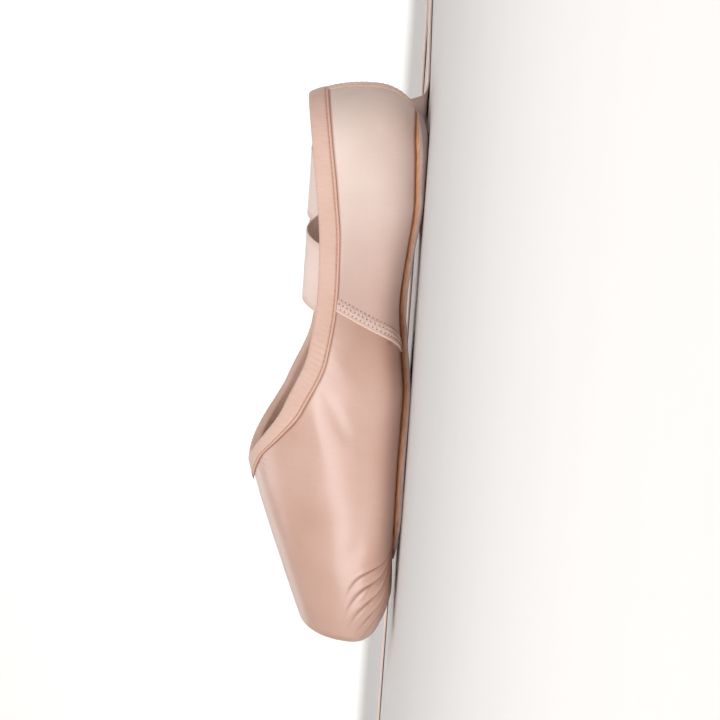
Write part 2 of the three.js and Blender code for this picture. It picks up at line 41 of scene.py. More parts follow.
# Sizes of the shoe in millimetres, as in the part's source. The toe points to -X.
MM = 0.001
LENGTH = 236.0
HEEL_BACK = LENGTH - 1.25
PLATFORM_EDGE_RADIUS = 4.5
PLATFORM_LEAN = math.tan(math.radians(6))
PLATFORM_FOOT = 13.5
PLATFORM_LEAN_FADES_AT = 60.0
PLATFORM_DEPTH = 10.0  # distance in front of the platform where the last's value is 1
TOP_POWER = 2.2
HEEL_SQUARE = 1.05
NEAR = -1
FAR = 1
SIDES = {"near": NEAR, "far": FAR}


def table(names, rows):
    """A short table as one array for each named column."""
    return {name: np.array(values, float) for name, values in zip(names.split(), zip(*rows))}


SECTIONS = table("from_toe half_width underside widest crown under_power", [
    (0, 23.8, 9.0, 21.0, 38.5, 2.6),
    (6, 26.4, 6.0, 20.6, 41.0, 2.7),
    (13, 29.3, 3.7, 20.0, 43.8, 2.8),
    (22, 32.4, 2.3, 19.2, 47.3, 2.9),
    (36, 36.2, 2.8, 18.5, 52.6, 3.2),
    (52, 39.3, 2.8, 18.0, 58.4, 3.6),
    (70, 41.0, 2.8, 18.0, 64.2, 3.6),
    (88, 40.9, 2.8, 18.0, 68.4, 3.6),
    (106, 39.0, 2.8, 18.5, 70.6, 3.6),
    (126, 35.2, 5.2, 20.5, 71.0, 3.4),
    (146, 31.8, 7.2, 22.0, 70.8, 3.2),
    (168, 29.6, 5.4, 22.0, 70.5, 3.1),
    (190, 28.8, 2.8, 22.5, 69.0, 2.9),
    (236, 28.4, 2.8, 24.5, 62.0, 2.3),
])
WALL = table("from_toe thickness", [(0, 3.8), (30, 2.6), (70, 2.0), (115, 1.5), (236, 1.5)])
COLLAR = table("from_toe height", [
    (62, 65.4), (72, 62.4), (84, 58.2), (104, 50.6), (126, 42.4), (150, 40.2),
    (172, 41.0), (192, 43.6), (212, 46.8), (240, 51.6),
])
THROAT = 68.0
THROAT_SLOPE = 0.36
THROAT_BOW = 0.0095
THROAT_ROUND = 14.0
SOLE_OUTLINE = table("from_toe half_width", [
    (33, 10.0), (44, 17.5), (60, 23.5), (80, 26.2), (100, 23.6), (122, 16.4),
    (142, 12.6), (164, 13.6), (188, 17.2), (210, 18.6), (229, 17.0),
])
SOLE_START = 33.0
SOLE_END = 225.0
SOLE_TIP_ROUND = 22.0
SOLE_HEEL_ROUND = 16.0
SOLE_RISE = table("from_toe rise", [
    (33, 0.9), (50, 0), (106, 0), (126, 2.4), (146, 4.4), (168, 2.6), (190, 0), (220, 0), (229, 0.5),
])
END_POWER = 2.4
UPPER_UNDER_SOLE = 7.0
SPINE_TOE_BELOW = 50.0
SPINE_TOE_ABOVE = 80.0
SPINE_HEEL = 206.0
SPINE_HEIGHT = 20.0
SPINE_SHIFT_FROM = math.radians(-25)
SPINE_SHIFT_TO = math.radians(45)
BINDING_OUTSIDE = 7.5
STRIP_UNDER_BINDING = 0.4  # how far the seams and the tape run in under the binding
SEAM_LOW = 128.0
SEAM_HIGH = 146.0
SEAM_WIDTH = 5.0
SEAM_LINE_FOOT = 1.0  # where the seam's line starts, above the outsole's edge
TAPE_WIDTH = 11.0
INSOLE_START = 19.0
INSOLE_END = 225.0
INSOLE_SHARE = 0.68
INSOLE_TOE_ROUND = 16.0
INSOLE_HEEL_ROUND = 22.0
RIBBON_WIDTH = 25.0
RIBBON_LENGTH = 500.0
RIBBON_START = Vector((146.6 - LENGTH / 2, 26.1, 25.0))
RIBBON_LEAN = math.radians(8)
# Each row is a straight run, then a bend about a line across the ribbon that is turned by skew. Both
# angles are in degrees.
RIBBON_BENDS = {
    # run, bend, radius, skew
    "near": [
        (19.3, -122, 7, -28),
        (11.0, 95, 18, -28),
        (3.3, -142, 6, -28),
        (38.2, 87, 9, -28),
        (130, 183, 1.6, 30),
        (66, -3, 60, 30),
    ],
    "far": [
        (19.5, -185, 4, -24),
        (37.7, 87, 9, -24),
        (70, 183, 1.6, 33.5),
        (66, -3, 60, 33.5),
    ],
}

# Camera: level with the floor at the near side, a little towards the heel, rolled so that the toe
# points down in the picture as it does in the photograph.
CAMERA_AZIMUTH = math.radians(11)
CAMERA_ELEVATION = math.radians(0.6)
CAMERA_DISTANCE = 1.45
CAMERA_LENS = 172.0
CAMERA_LEAN = math.radians(4)
CAMERA_TARGET = Vector((0.0, 0.0, 0.022))


def add_camera():
    across = math.cos(CAMERA_ELEVATION)
    back = Vector((
        math.sin(CAMERA_AZIMUTH) * across,
        -math.cos(CAMERA_AZIMUTH) * across,
        math.sin(CAMERA_ELEVATION),
    ))
    up = Vector((math.cos(CAMERA_LEAN), 0, math.sin(CAMERA_LEAN)))
    up = (up - back * up.dot(back)).normalized()
    right = up.cross(back)
    bpy.ops.object.camera_add()
    camera = bpy.context.object
    camera.name = "camera"
    camera.data.lens = CAMERA_LENS
    turn = Matrix((right, up, back)).transposed().to_4x4()
    camera.matrix_world = Matrix.Translation(CAMERA_TARGET + back * CAMERA_DISTANCE) @ turn
    bpy.context.scene.camera = camera


add_camera()

# Curves and lines of points


def smooth_step(low, high, value):
    t = np.clip((value - low) / (high - low), 0, 1)
    return t * t * (3 - 2 * t)


def bump_at(offset, width):
    """A soft round hump of height 1."""
    return np.exp(-((offset / width) ** 2))


def along(rows, column, at):
    """Smooth value of one column of a table, level between equal neighbours and never overshooting."""
    x = rows["from_toe"]
    y = rows[column]
    chord = np.diff(y) / np.diff(x)
    same_way = chord[:-1] * chord[1:] > 0
    total = np.where(same_way, chord[:-1] + chord[1:], 1)
    inner = np.where(same_way, 2 * chord[:-1] * chord[1:] / total, 0)
    slope = np.concatenate([chord[:1], inner, chord[-1:]])
    at = np.clip(at, x[0], x[-1])
    k = np.clip(np.searchsorted(x, at, side="right") - 1, 0, len(x) - 2)
    step = x[k + 1] - x[k]
    t = (at - x[k]) / step
    rise = (1 - t) * (1 - t) * t * slope[k] - (1 - t) * t * t * slope[k + 1]
    return y[k] + (y[k + 1] - y[k]) * t * t * (3 - 2 * t) + step * rise


def turning_point(low, high, test, steps=30):
    """The values where a test changes from false at low to true at high."""
    for _ in range(steps):
        middle = (low + high) / 2
        passed = test(middle)
        high = np.where(passed, middle, high)
        low = np.where(passed, low, middle)
    return (low + high) / 2


def unit(vectors):
    return vectors / np.linalg.norm(vectors, axis=-1, keepdims=True)


def step_lengths(points):
    """Distances between neighbours along each line of points."""
    return np.linalg.norm(np.diff(points, axis=-2), axis=-1)


def running_total(steps):
    """Sums of the steps along each line, from 0 at its start."""
    return np.concatenate([np.zeros_like(steps[..., :1]), np.cumsum(steps, -1)], -1)


def points_along(points, lengths, wanted):
    """Points at wanted distances along a line, from its points and their distances."""
    return np.stack([np.interp(wanted, lengths, points[:, axis]) for axis in range(3)], -1)


# The last
LAST_STEP = 0.02  # to either side of a point, for the slope
LARGEST_MOVE = 0.3  # of a point onto the last


def place(from_toe, y, z):
    parts = np.broadcast_arrays(np.asarray(from_toe, float) - LENGTH / 2, y, z)
    return np.stack(parts, -1).astype(float)


def from_toe_of(points):
    return points[..., 0] + LENGTH / 2


def last_at(points):
    """The last: below 0 inside, above 0 outside. The platform is a flat leaning end with a round edge."""
    from_toe = from_toe_of(points)
    z = points[..., 2]
    lean_share = np.maximum(0, 1 - from_toe / PLATFORM_LEAN_FADES_AT)
    at = from_toe - PLATFORM_LEAN * np.maximum(0, z - PLATFORM_FOOT) * lean_share
    in_edge = np.clip(PLATFORM_EDGE_RADIUS - at, 0, PLATFORM_EDGE_RADIUS)
    edge = PLATFORM_EDGE_RADIUS - np.sqrt(PLATFORM_EDGE_RADIUS**2 - in_edge**2)
    half_width = along(SECTIONS, "half_width", at) - edge
    widest = along(SECTIONS, "widest", at)
    above = z > widest
    power = np.where(above, TOP_POWER, along(SECTIONS, "under_power", at))
    limit = np.where(above, along(SECTIONS, "crown", at), along(SECTIONS, "underside", at))
    tall = np.abs(limit - widest) - edge
    into_heel = np.maximum(0, (at - SPINE_HEEL) / (HEEL_BACK - SPINE_HEEL))
    to_side = np.abs(points[..., 1]) / half_width
    in_plan = np.hypot(to_side**HEEL_SQUARE, into_heel**HEEL_SQUARE)
    value = in_plan ** (power / HEEL_SQUARE) + (np.abs(z - widest) / tall) ** power - 1
    return np.maximum(value, -at / PLATFORM_DEPTH)


def last_slope(points):
    slopes = []
    for shift in np.eye(3) * LAST_STEP:
        slopes.append((last_at(points + shift) - last_at(points - shift)) / (2 * LAST_STEP))
    return np.stack(slopes, -1)


def last_normal(points):
    return unit(last_slope(points))


def onto_last(points):
    """Points that are close to the last's surface, moved onto it."""
    slope = last_slope(points)
    steepness = np.linalg.norm(slope, axis=-1)
    move = np.clip(last_at(points) / steepness, -LARGEST_MOVE, LARGEST_MOVE) / steepness
    return points - slope * move[..., None]


def underside_at(from_toe, y):
    from_toe, y = np.broadcast_arrays(np.asarray(from_toe, float), np.asarray(y, float))
    widest = along(SECTIONS, "widest", from_toe)

    def is_out(drop):
        return last_at(place(from_toe, y, widest - drop)) > 0

    return widest - turning_point(np.zeros_like(widest), widest, is_out)


def wall_at(points):
    return along(WALL, "thickness", from_toe_of(points))


def opening_at(points):
    """The foot's opening: above 0 where the upper is cut away."""
    from_toe = from_toe_of(points)
    across = np.abs(points[..., 1])
    behind_throat = from_toe - THROAT - THROAT_SLOPE * across - THROAT_BOW * across**2
    over_collar = points[..., 2] - along(COLLAR, "height", from_toe)
    near = np.maximum(0, THROAT_ROUND - np.abs(behind_throat - over_collar)) / THROAT_ROUND
    return np.minimum(behind_throat, over_collar) - near * near * THROAT_ROUND / 4


def end_rounding(into_tip, into_heel):
    """Share of the width that is left, from how far a place is into either rounded end."""
    tip = 1 - np.maximum(0, into_tip) ** END_POWER
    heel = 1 - np.maximum(0, into_heel) ** END_POWER
    return np.sqrt(np.maximum(0, tip) * np.maximum(0, heel))


def sole_half_width(from_toe):
    into_tip = (SOLE_START + SOLE_TIP_ROUND - from_toe) / SOLE_TIP_ROUND
    into_heel = (from_toe - SOLE_END + SOLE_HEEL_ROUND) / SOLE_HEEL_ROUND
    return along(SOLE_OUTLINE, "half_width", from_toe) * end_rounding(into_tip, into_heel)


# Columns: lines up the outside of the upper, each with a heading from a spine inside the last
COLUMN_SAMPLES = 180
RIM_SEARCH_STEP = math.pi / 100
TURN_LENGTH = 14.0  # millimetres of wall that one radian of turn counts for
ROW_EVENING = 20  # columns to either side that rows are evened out over
PLEATED_LENGTH = 56.0  # how far up from their lower ends the toe's columns have pleats
PLEAT_CROWDING = 1.3  # how much closer together their rows are there
CROWDED_HEADINGS = (88, 62)  # degrees from the toe between which the crowding sets in
PLEATED_HALF = math.radians(78)  # half of the toe's fan that has closely set columns
TOE_CORNER_COLUMNS = 8  # in the rest of the fan, on each side


def make_columns(below, above, heading):
    """Columns from the margin under the sole up to the opening's edge, each with its points and their
    distances up it. Below and above are where on the spine a column's rays start, from the toe, low
    and high up, and heading is its direction in plan."""
    below, above, heading = np.broadcast_arrays(*(np.asarray(x, float) for x in (below, above, heading)))
    count = len(heading)
    ahead = np.stack([-np.cos(heading), np.sin(heading), np.zeros(count)], -1)

    def in_plan(distance):
        return place(below, 0, SPINE_HEIGHT) + ahead * distance[:, None]

    def off_sole(distance):
        points = in_plan(distance)
        return np.abs(points[:, 1]) >= sole_half_width(from_toe_of(points))

    def on_last(elevation):
        shift = smooth_step(SPINE_SHIFT_FROM, SPINE_SHIFT_TO, elevation)
        start = place(below[:, None] + (above - below)[:, None] * shift, 0, SPINE_HEIGHT)
        ray = ahead[:, None, :] * np.cos(elevation)[..., None]
        ray[..., 2] = np.sin(elevation)

        def is_out(distance):
            return last_at(start + ray * distance[..., None]) > 0

        low = np.zeros_like(elevation)
        return start + ray * turning_point(low, low + LENGTH / 2, is_out)[..., None]

    def elevation_below(distance):
        points = in_plan(distance)
        depth = underside_at(from_toe_of(points), points[:, 1]) - SPINE_HEIGHT
        return np.arctan2(depth, distance)

    def is_open(elevation):
        return opening_at(on_last(elevation[:, None])[:, 0]) > 0

    sole_edge = turning_point(np.zeros(count), np.full(count, LENGTH / 2), off_sole)
    lowest = elevation_below(sole_edge - UPPER_UNDER_SOLE)
    highest = lowest.copy()
    closed = ~is_open(highest)
    while closed.any():
        highest[closed] += RIM_SEARCH_STEP
        closed = ~is_open(highest)
    highest = turning_point(highest - RIM_SEARCH_STEP, highest, is_open)
    share = np.linspace(0, 1, COLUMN_SAMPLES + 1)
    points = onto_last(on_last(lowest[:, None] + (highest - lowest)[:, None] * share))
    normals = last_normal(points)
    turns = np.arccos(np.clip(np.sum(normals[:, 1:] * normals[:, :-1], -1), -1, 1))
    steps = step_lengths(points)
    lengths = running_total(steps)
    sole_share = (elevation_below(sole_edge) - lowest) / (highest - lowest)
    return {
        "heading": heading,
        "points": points,
        "lengths": lengths,
        "weights": running_total(steps + TURN_LENGTH * turns),
        "sole_length": np.array([np.interp(s, share, row) for s, row in zip(sole_share, lengths)]),
        "length": lengths[:, -1],
    }


def up_columns(columns, distances):
    """Points on the last at distances up each column."""
    lines = zip(columns["points"], columns["lengths"], distances)
    return onto_last(np.array([points_along(*line) for line in lines]))


def row_distances(columns, rows):
    """Distances up each column of a closed ring, close together where the wall turns sharply and in the
    pleats. They are evened out over the columns beside each, so that the rows run smoothly round the shoe."""
    share = np.linspace(0, 1, rows)
    crowding = PLEAT_CROWDING * smooth_step(*CROWDED_HEADINGS, np.degrees(np.abs(columns["heading"])))
    pleated = np.minimum(columns["lengths"], PLEATED_LENGTH)
    pairs = zip(columns["weights"] + crowding[:, None] * pleated, columns["lengths"])
    parts = np.array([np.interp(share * w[-1], w, lengths) / lengths[-1] for w, lengths in pairs])
    window = np.hanning(2 * ROW_EVENING + 1)
    shifts = range(-ROW_EVENING, ROW_EVENING + 1)
    even = sum(weight * np.roll(parts, shift, 0) for weight, shift in zip(window, shifts)) / window.sum()
    return even * columns["length"][:, None]


def fan(start, end, count):
    """Even steps from a start, up to the last one before the end."""
    return start + (end - start) * np.arange(count) / count


def columns_round_shoe(heel_count, side_count, pleated_count):
    """Columns from the middle of the heel along the near side to the toe and back."""
    quarter = math.pi / 2
    side = fan(0, 1, side_count)
    at_heel = np.zeros(heel_count)
    toe = np.concatenate([
        fan(-quarter, -PLEATED_HALF, TOE_CORNER_COLUMNS),
        fan(-PLEATED_HALF, PLEATED_HALF, pleated_count),
        fan(PLEATED_HALF, quarter, TOE_CORNER_COLUMNS),
    ])
    heading = np.concatenate([
        fan(-math.pi, -quarter, heel_count),
        np.full(side_count, -quarter),
        toe,
        np.full(side_count, quarter),
        fan(quarter, math.pi, heel_count),
    ])
    to_toe = np.concatenate([at_heel, side, np.ones(len(toe)), 1 - side, at_heel])
    below = SPINE_HEEL + (SPINE_TOE_BELOW - SPINE_HEEL) * to_toe
    above = SPINE_HEEL + (SPINE_TOE_ABOVE - SPINE_HEEL) * to_toe
    return make_columns(below, above, heading)


# Meshes: a primitive is added and its points are moved to where the piece has them
MERGE_DISTANCE = 1e-7


def edit_all():
    bpy.ops.object.mode_set(mode="EDIT")
    bpy.ops.mesh.select_all(action="SELECT")


def finish_mesh(piece, points, materials, angle):
    """Moves the points into place in metres, closes the seams and turns the faces outwards."""
    mesh = piece.data
    mesh.vertices.foreach_set("co", (np.asarray(points, np.float32) * MM).ravel())
    mesh.update()
    for material in materials:
        mesh.materials.append(material)
    edit_all()
    bpy.ops.mesh.remove_doubles(threshold=MERGE_DISTANCE)
    bpy.ops.mesh.normals_make_consistent(inside=False)
    bpy.ops.object.mode_set(mode="OBJECT")
    bpy.ops.object.shade_smooth_by_angle(angle=math.radians(angle))
    piece.select_set(False)


def flat_grid(name, rows, columns):
    """A new flat grid with so many rows and columns of points."""
    bpy.ops.mesh.primitive_grid_add(x_subdivisions=columns - 1, y_subdivisions=rows - 1, size=2)
    piece = bpy.context.object
    piece.name = name
    return piece


def grid_places(piece, rows, columns):
    """Layer, row and column of each point of a grid that still is flat, or extruded in steps of 1."""
    flat = np.empty(len(piece.data.vertices) * 3, np.float32)
    piece.data.vertices.foreach_get("co", flat)
    flat = flat.reshape(-1, 3)
    column = np.rint((flat[:, 0] + 1) / 2 * (columns - 1)).astype(int)
    row = np.rint((flat[:, 1] + 1) / 2 * (rows - 1)).astype(int)
    return np.rint(flat[:, 2]).astype(int), row, column


def face_corners(piece):
    """The point indices of each face of a mesh of four-cornered faces."""
    corners = np.empty(len(piece.data.loops), np.int32)
    piece.data.loops.foreach_get("vertex_index", corners)
    return corners.reshape(-1, 4)


def set_face_materials(piece, slots):
    piece.data.polygons.foreach_set("material_index", slots.astype(np.int32))


def set_attribute(piece, name, values):
    """A number for each point of the piece, or three, that its material reads."""
    values = np.asarray(values, np.float32)
    kind = "FLOAT_VECTOR" if values.ndim == 2 else "FLOAT"
    attribute = piece.data.attributes.new(name, kind, "POINT")
    attribute.data.foreach_set("vector" if values.ndim == 2 else "value", values.ravel())


def ring_piece(name, loops, materials, values, panel=None, angle=60):
    """A closed ring through loops of points, started as a grid whose opposite sides are merged. Values
    are numbers for each point that the material reads, and panel is the material of each point."""
    rows, columns = loops.shape[0] + 1, loops.shape[1] + 1
    piece = flat_grid(name, rows, columns)
    _, row, column = grid_places(piece, rows, columns)
    row %= loops.shape[0]
    column %= loops.shape[1]
    for word, numbers in values.items():
        set_attribute(piece, word, numbers[row, column])
    if panel is not None:
        set_face_materials(piece, panel[row, column][face_corners(piece)].max(1))
    finish_mesh(piece, loops[row, column], materials, angle)
    return piece


def layered_piece(name, layers, materials, angle=40):
    """A closed plate, started as a grid that is extruded once for each layer, with the layer, row and
    column of each point. Of the layers between the lowest and the highest, only the rim remains."""
    rows, columns = layers[0].shape[:2]
    piece = flat_grid(name, rows, columns)
    edit_all()
    for _ in layers[1:]:
        bpy.ops.mesh.extrude_region_move(TRANSFORM_OT_translate={"value": (0, 0, 1)})
    bpy.ops.object.mode_set(mode="OBJECT")
    layer, row, column = grid_places(piece, rows, columns)
    finish_mesh(piece, np.array(layers)[layer, row, column], materials, angle)
    return piece, (layer, row, column)


def attach(piece, slot, *nodes):
    """Fixes a piece to the shoe's one body, in place of the nodes that it stands for."""
    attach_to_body(piece, "root")
    if nodes:
        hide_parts(*nodes)


# Materials
MIX_COLOURS = {"data_type": "RGBA"}
MIX_NUMBERS = {"data_type": "FLOAT"}
MULTIPLY = {"operation": "MULTIPLY"}
MULTIPLY_ADD = {"operation": "MULTIPLY_ADD"}
SINE = {"operation": "SINE"}
SHADE = {"attribute_name": "shade"}
WEAR = {"attribute_name": "wear"}
LAY = {"attribute_name": "lay"}


def colour(code):
    """A linear colour from an sRGB hex value."""
    parts = [int(code[k : k + 2], 16) / 255 for k in (0, 2, 4)]
    linear = [c / 12.92 if c <= 0.04045 else ((c + 0.055) / 1.055) ** 2.4 for c in parts]
    return (*linear, 1.0)


def first_in_use(sockets, name=None):
    """The first socket in use, of all or of those with a name. A mix node has more than it uses."""
    return next(s for s in sockets if s.enabled and name in (None, s.name))


def add_node(tree, kind, settings=None, inputs=None):
    """Adds one node, sets its properties, and sets its inputs or links them to other nodes."""
    node = tree.nodes.new(f"ShaderNode{kind}")
    for name, value in (settings or {}).items():
        setattr(node, name, value)
    for name, value in (inputs or {}).items():
        socket = node.inputs[name] if isinstance(name, int) else first_in_use(node.inputs, name)
        if isinstance(value, bpy.types.Node):
            value = first_in_use(value.outputs)
        if isinstance(value, bpy.types.NodeSocket):
            tree.links.new(value, socket)
        else:
            socket.default_value = value
    return node


def new_material(name):
    """A material that is still empty, and the object coordinates that its patterns use."""
    material = bpy.data.materials.new(name)
    material.use_nodes = True
    tree = material.node_tree
    tree.nodes.clear()
    coordinates = add_node(tree, "TexCoord")
    return material, tree, coordinates.outputs["Object"]


def end_material(tree, inputs):
    shader = add_node(tree, "BsdfPrincipled", inputs=inputs)
    add_node(tree, "OutputMaterial", inputs={"Surface": shader})


def per_mm(*sizes):
    """Mapping scale for object coordinates in metres, so that one unit of pattern is each size in mm."""
    return tuple(1 / (size * MM) for size in sizes)


def make_satin(name, light, dark, line, roughness, coat, sheen, streak):
    """Polyester duchesse satin: long floats give a broad soft gloss with fine streaks across the shoe.
    Its threads lie about 0.1 mm apart, so the streaks are drawn four times as coarse to show."""
    material, tree, place_in = new_material(name)
    yarns = []
    for scale in (per_mm(0.4, 9, 9), per_mm(11, 0.5, 0.5)):
        stretch = add_node(tree, "Mapping", inputs={"Vector": place_in, "Scale": scale})
        yarns.append(add_node(tree, "TexNoise", inputs={"Vector": stretch, "Scale": 1.0, "Detail": 2.0}))
    threads = add_node(tree, "Mix", MIX_NUMBERS, {"Factor": 0.4, "A": yarns[0], "B": yarns[1]})
    cloudy = add_node(tree, "TexNoise", inputs={"Vector": place_in, "Scale": 1 / (38 * MM), "Detail": 2.0})
    tone = add_node(tree, "MapRange", inputs={"Value": cloudy, "From Min": 0.3, "From Max": 0.7})
    cloth = add_node(tree, "Mix", MIX_COLOURS, {"Factor": tone, "A": colour(light), "B": colour(dark)})
    fine = add_node(tree, "MapRange", inputs={
        "Value": threads, "From Min": 0.3, "From Max": 0.7, "To Min": 1 - streak, "To Max": 1 + streak,
    })
    streaked = add_node(
        tree, "Mix", {**MIX_COLOURS, "blend_type": "MULTIPLY"}, {"Factor": 1.0, "A": cloth, "B": fine}
    )
    # Painted shade that the attribute shade holds, thin shadow lines and soft shadows in the colour line, and
    # the soiled cloth of wear
    shade = add_node(tree, "Attribute", SHADE).outputs["Fac"]
    shaded = add_node(tree, "Mix", MIX_COLOURS, {"Factor": shade, "A": streaked, "B": colour(line)})
    wear = add_node(tree, "Attribute", WEAR).outputs["Fac"]
    grime = add_node(tree, "TexNoise", inputs={"Vector": place_in, "Scale": 1 / (3 * MM), "Detail": 5.0})
    rubbed = add_node(tree, "MapRange", inputs={"Value": grime, "From Min": 0.42, "From Max": 0.62})
    soiled = add_node(tree, "Math", MULTIPLY, {0: wear, 1: rubbed})
    worn = add_node(tree, "Mix", MIX_COLOURS, {"Factor": soiled, "A": shaded, "B": colour("9A7E70")})
    gloss = add_node(tree, "MapRange", inputs={
        "Value": threads, "From Min": 0.25, "From Max": 0.75,
        "To Min": roughness - 0.06, "To Max": roughness + 0.07,
    })
    relief = add_node(tree, "Bump", inputs={"Strength": 0.35, "Distance": 0.04 * MM, "Height": threads})
    soft = add_node(tree, "TexNoise", inputs={"Vector": place_in, "Scale": 1 / (14 * MM), "Detail": 1.0})
    hand = add_node(tree, "Bump", inputs={
        "Strength": 0.5, "Distance": 0.5 * MM, "Height": soft, "Normal": relief,
    })
    end_material(tree, {
        "Base Color": worn,
        "Roughness": gloss,
        "Normal": hand,
        "Specular IOR Level": 0.8,
        "Coat Weight": coat,
        "Coat Roughness": 0.3,
        "Sheen Weight": sheen,
        "Sheen Roughness": 0.35,
        "Sheen Tint": colour("FFF0E8"),
    })
    return material


def make_woven(name, light, dark, pitch, roughness, sheen):
    """Plain woven cloth: small over and under crossings, matte, with a soft bloom at the edge.
    The crossings are drawn at the pitch that is given in mm, coarser than real yarn so that they show."""
    material, tree, place_in = new_material(name)
    grid = add_node(tree, "Mapping", inputs={"Vector": place_in, "Scale": per_mm(pitch, pitch, pitch)})
    axes = add_node(tree, "SeparateXYZ", inputs={"Vector": grid})
    waves = []
    for axis in ("X", "Y"):
        turned = add_node(tree, "Math", MULTIPLY, {0: axes.outputs[axis], 1: 2 * math.pi})
        waves.append(add_node(tree, "Math", SINE, {0: turned}))
    crossing = add_node(tree, "Math", MULTIPLY, {0: waves[0], 1: waves[1]})
    slub = add_node(tree, "TexNoise", inputs={"Vector": grid, "Scale": 0.2, "Detail": 2.0})
    uneven = add_node(tree, "Math", MULTIPLY_ADD, {0: crossing, 1: 0.18, 2: slub})
    cloth = add_node(tree, "Mix", MIX_COLOURS, {"Factor": uneven, "A": colour(dark), "B": colour(light)})
    relief = add_node(tree, "Bump", inputs={"Strength": 0.6, "Distance": 0.12 * MM, "Height": uneven})
    end_material(tree, {
        "Base Color": cloth,
        "Roughness": roughness,
        "Normal": relief,
        "Specular IOR Level": 0.3,
        "Sheen Weight": sheen,
        "Sheen Roughness": 0.5,
    })
    return material


def make_ribbed(name, light, dark, edge, rib, roughness, sheen):
    """Woven tape with fine ribs across it, matte with a weak sheen. The attribute lay holds the places
    along and across the tape in mm, and the last part is how much of the edge's colour a point has. On
    the ribbon that is its real selvage; on the binding and the tape it is painted shade, and on the side
    seams a painted highlight along the ridge."""
    material, tree, place_in = new_material(name)
    lay = add_node(tree, "Attribute", LAY).outputs["Vector"]
    axes = add_node(tree, "SeparateXYZ", inputs={"Vector": lay})
    turned = add_node(tree, "Math", MULTIPLY, {0: axes.outputs["X"], 1: 2 * math.pi / rib})
    ribs = add_node(tree, "Math", SINE, {0: turned})
    stretch = add_node(tree, "Mapping", inputs={"Vector": lay, "Scale": (1 / 0.5, 1 / 6, 1.0)})
    yarn = add_node(tree, "TexNoise", inputs={"Vector": stretch, "Scale": 1.0, "Detail": 3.0})
    woven = add_node(tree, "Math", MULTIPLY_ADD, {0: ribs, 1: 0.12, 2: yarn})
    cloudy = add_node(tree, "TexNoise", inputs={"Vector": place_in, "Scale": 1 / (22 * MM), "Detail": 2.0})
    both = add_node(tree, "Mix", MIX_NUMBERS, {"Factor": 0.5, "A": woven, "B": cloudy})
    tone = add_node(tree, "MapRange", inputs={"Value": both, "From Min": 0.3, "From Max": 0.7})
    cloth = add_node(tree, "Mix", MIX_COLOURS, {"Factor": tone, "A": colour(dark), "B": colour(light)})
    selvage_and_painted_light = add_node(tree, "Mix", MIX_COLOURS, {"Factor": axes.outputs["Z"], "A": cloth, "B": colour(edge)})
    relief = add_node(tree, "Bump", inputs={"Strength": 0.5, "Distance": 0.09 * MM, "Height": woven})
    end_material(tree, {
        "Base Color": selvage_and_painted_light,
        "Roughness": roughness,
        "Normal": relief,
        "Specular IOR Level": 0.4,
        "Sheen Weight": sheen,
        "Sheen Roughness": 0.4,
    })
    return material


def make_suede():
    """Split leather, sueded: dull and mottled, with a short nap and paler rubbed patches."""
    material, tree, place_in = new_material("split_leather_suede")
    nap = add_node(tree, "TexNoise", inputs={"Vector": place_in, "Scale": 1 / (0.6 * MM), "Detail": 5.0})
    patches = add_node(tree, "TexNoise", inputs={"Vector": place_in, "Scale": 1 / (17 * MM), "Detail": 3.0})
    blend = add_node(tree, "Mix", MIX_NUMBERS, {"Factor": 0.45, "A": patches, "B": nap})
    tone = add_node(tree, "MapRange", inputs={"Value": blend, "From Min": 0.32, "From Max": 0.68})
    hide = add_node(tree, "Mix", MIX_COLOURS, {"Factor": tone, "A": colour("A88E88"), "B": colour("C9B5B0")})
    # Darker in the pressed scale marks, partly the suede's own colour and partly painted shade in their
    # grooves, and painted shade on the top face that lies under the upper
    pressed_and_shaded = add_node(tree, "Attribute", SHADE).outputs["Fac"]
    hide_marked_and_shaded = add_node(tree, "Mix", MIX_COLOURS, {"Factor": pressed_and_shaded, "A": hide, "B": colour("836A62")})
    relief = add_node(tree, "Bump", inputs={"Strength": 0.7, "Distance": 0.15 * MM, "Height": nap})
    end_material(tree, {
        "Base Color": hide_marked_and_shaded,
        "Roughness": 0.92,
        "Normal": relief,
        "Specular IOR Level": 0.25,
        "Sheen Weight": 0.35,
        "Sheen Roughness": 0.6,
        "Sheen Tint": colour("E8D6D0"),
    })
    return material


def make_cut_edge():
    """Cut leather edge, stained tan and burnished: flat layers of fibre along the cut, half dull."""
    material, tree, place_in = new_material("stained_leather_edge")
    layers = add_node(tree, "Mapping", inputs={"Vector": place_in, "Scale": per_mm(6, 6, 0.5)})
    fibre = add_node(tree, "TexNoise", inputs={"Vector": layers, "Scale": 1.0, "Detail": 4.0})
    tone = add_node(tree, "MapRange", inputs={"Value": fibre, "From Min": 0.3, "From Max": 0.7})
    stain = add_node(tree, "Mix", MIX_COLOURS, {"Factor": tone, "A": colour("B57A56"), "B": colour("D9A37C")})
    relief = add_node(tree, "Bump", inputs={"Strength": 0.6, "Distance": 0.12 * MM, "Height": fibre})
    end_material(tree, {"Base Color": stain, "Roughness": 0.55, "Normal": relief})
    return material


def make_thread(name, light, dark):
    """Twisted polyester sewing thread: two plies, so slanting light and dark turns, with a slight gloss."""
    material, tree, place_in = new_material(name)
    turned = add_node(tree, "Mapping", inputs={
        "Vector": place_in, "Rotation": (0.6, 0.5, 0.7), "Scale": per_mm(0.5, 0.5, 0.5),
    })
    wave = add_node(tree, "TexWave", inputs={"Vector": turned, "Scale": 0.5, "Distortion": 1.0})
    ply = wave.outputs["Fac"]
    twist = add_node(tree, "Mix", MIX_COLOURS, {"Factor": ply, "A": colour(dark), "B": colour(light)})
    relief = add_node(tree, "Bump", inputs={"Strength": 0.5, "Distance": 0.08 * MM, "Height": ply})
    end_material(tree, {"Base Color": twist, "Roughness": 0.5, "Normal": relief, "Sheen Weight": 0.2})
    return material


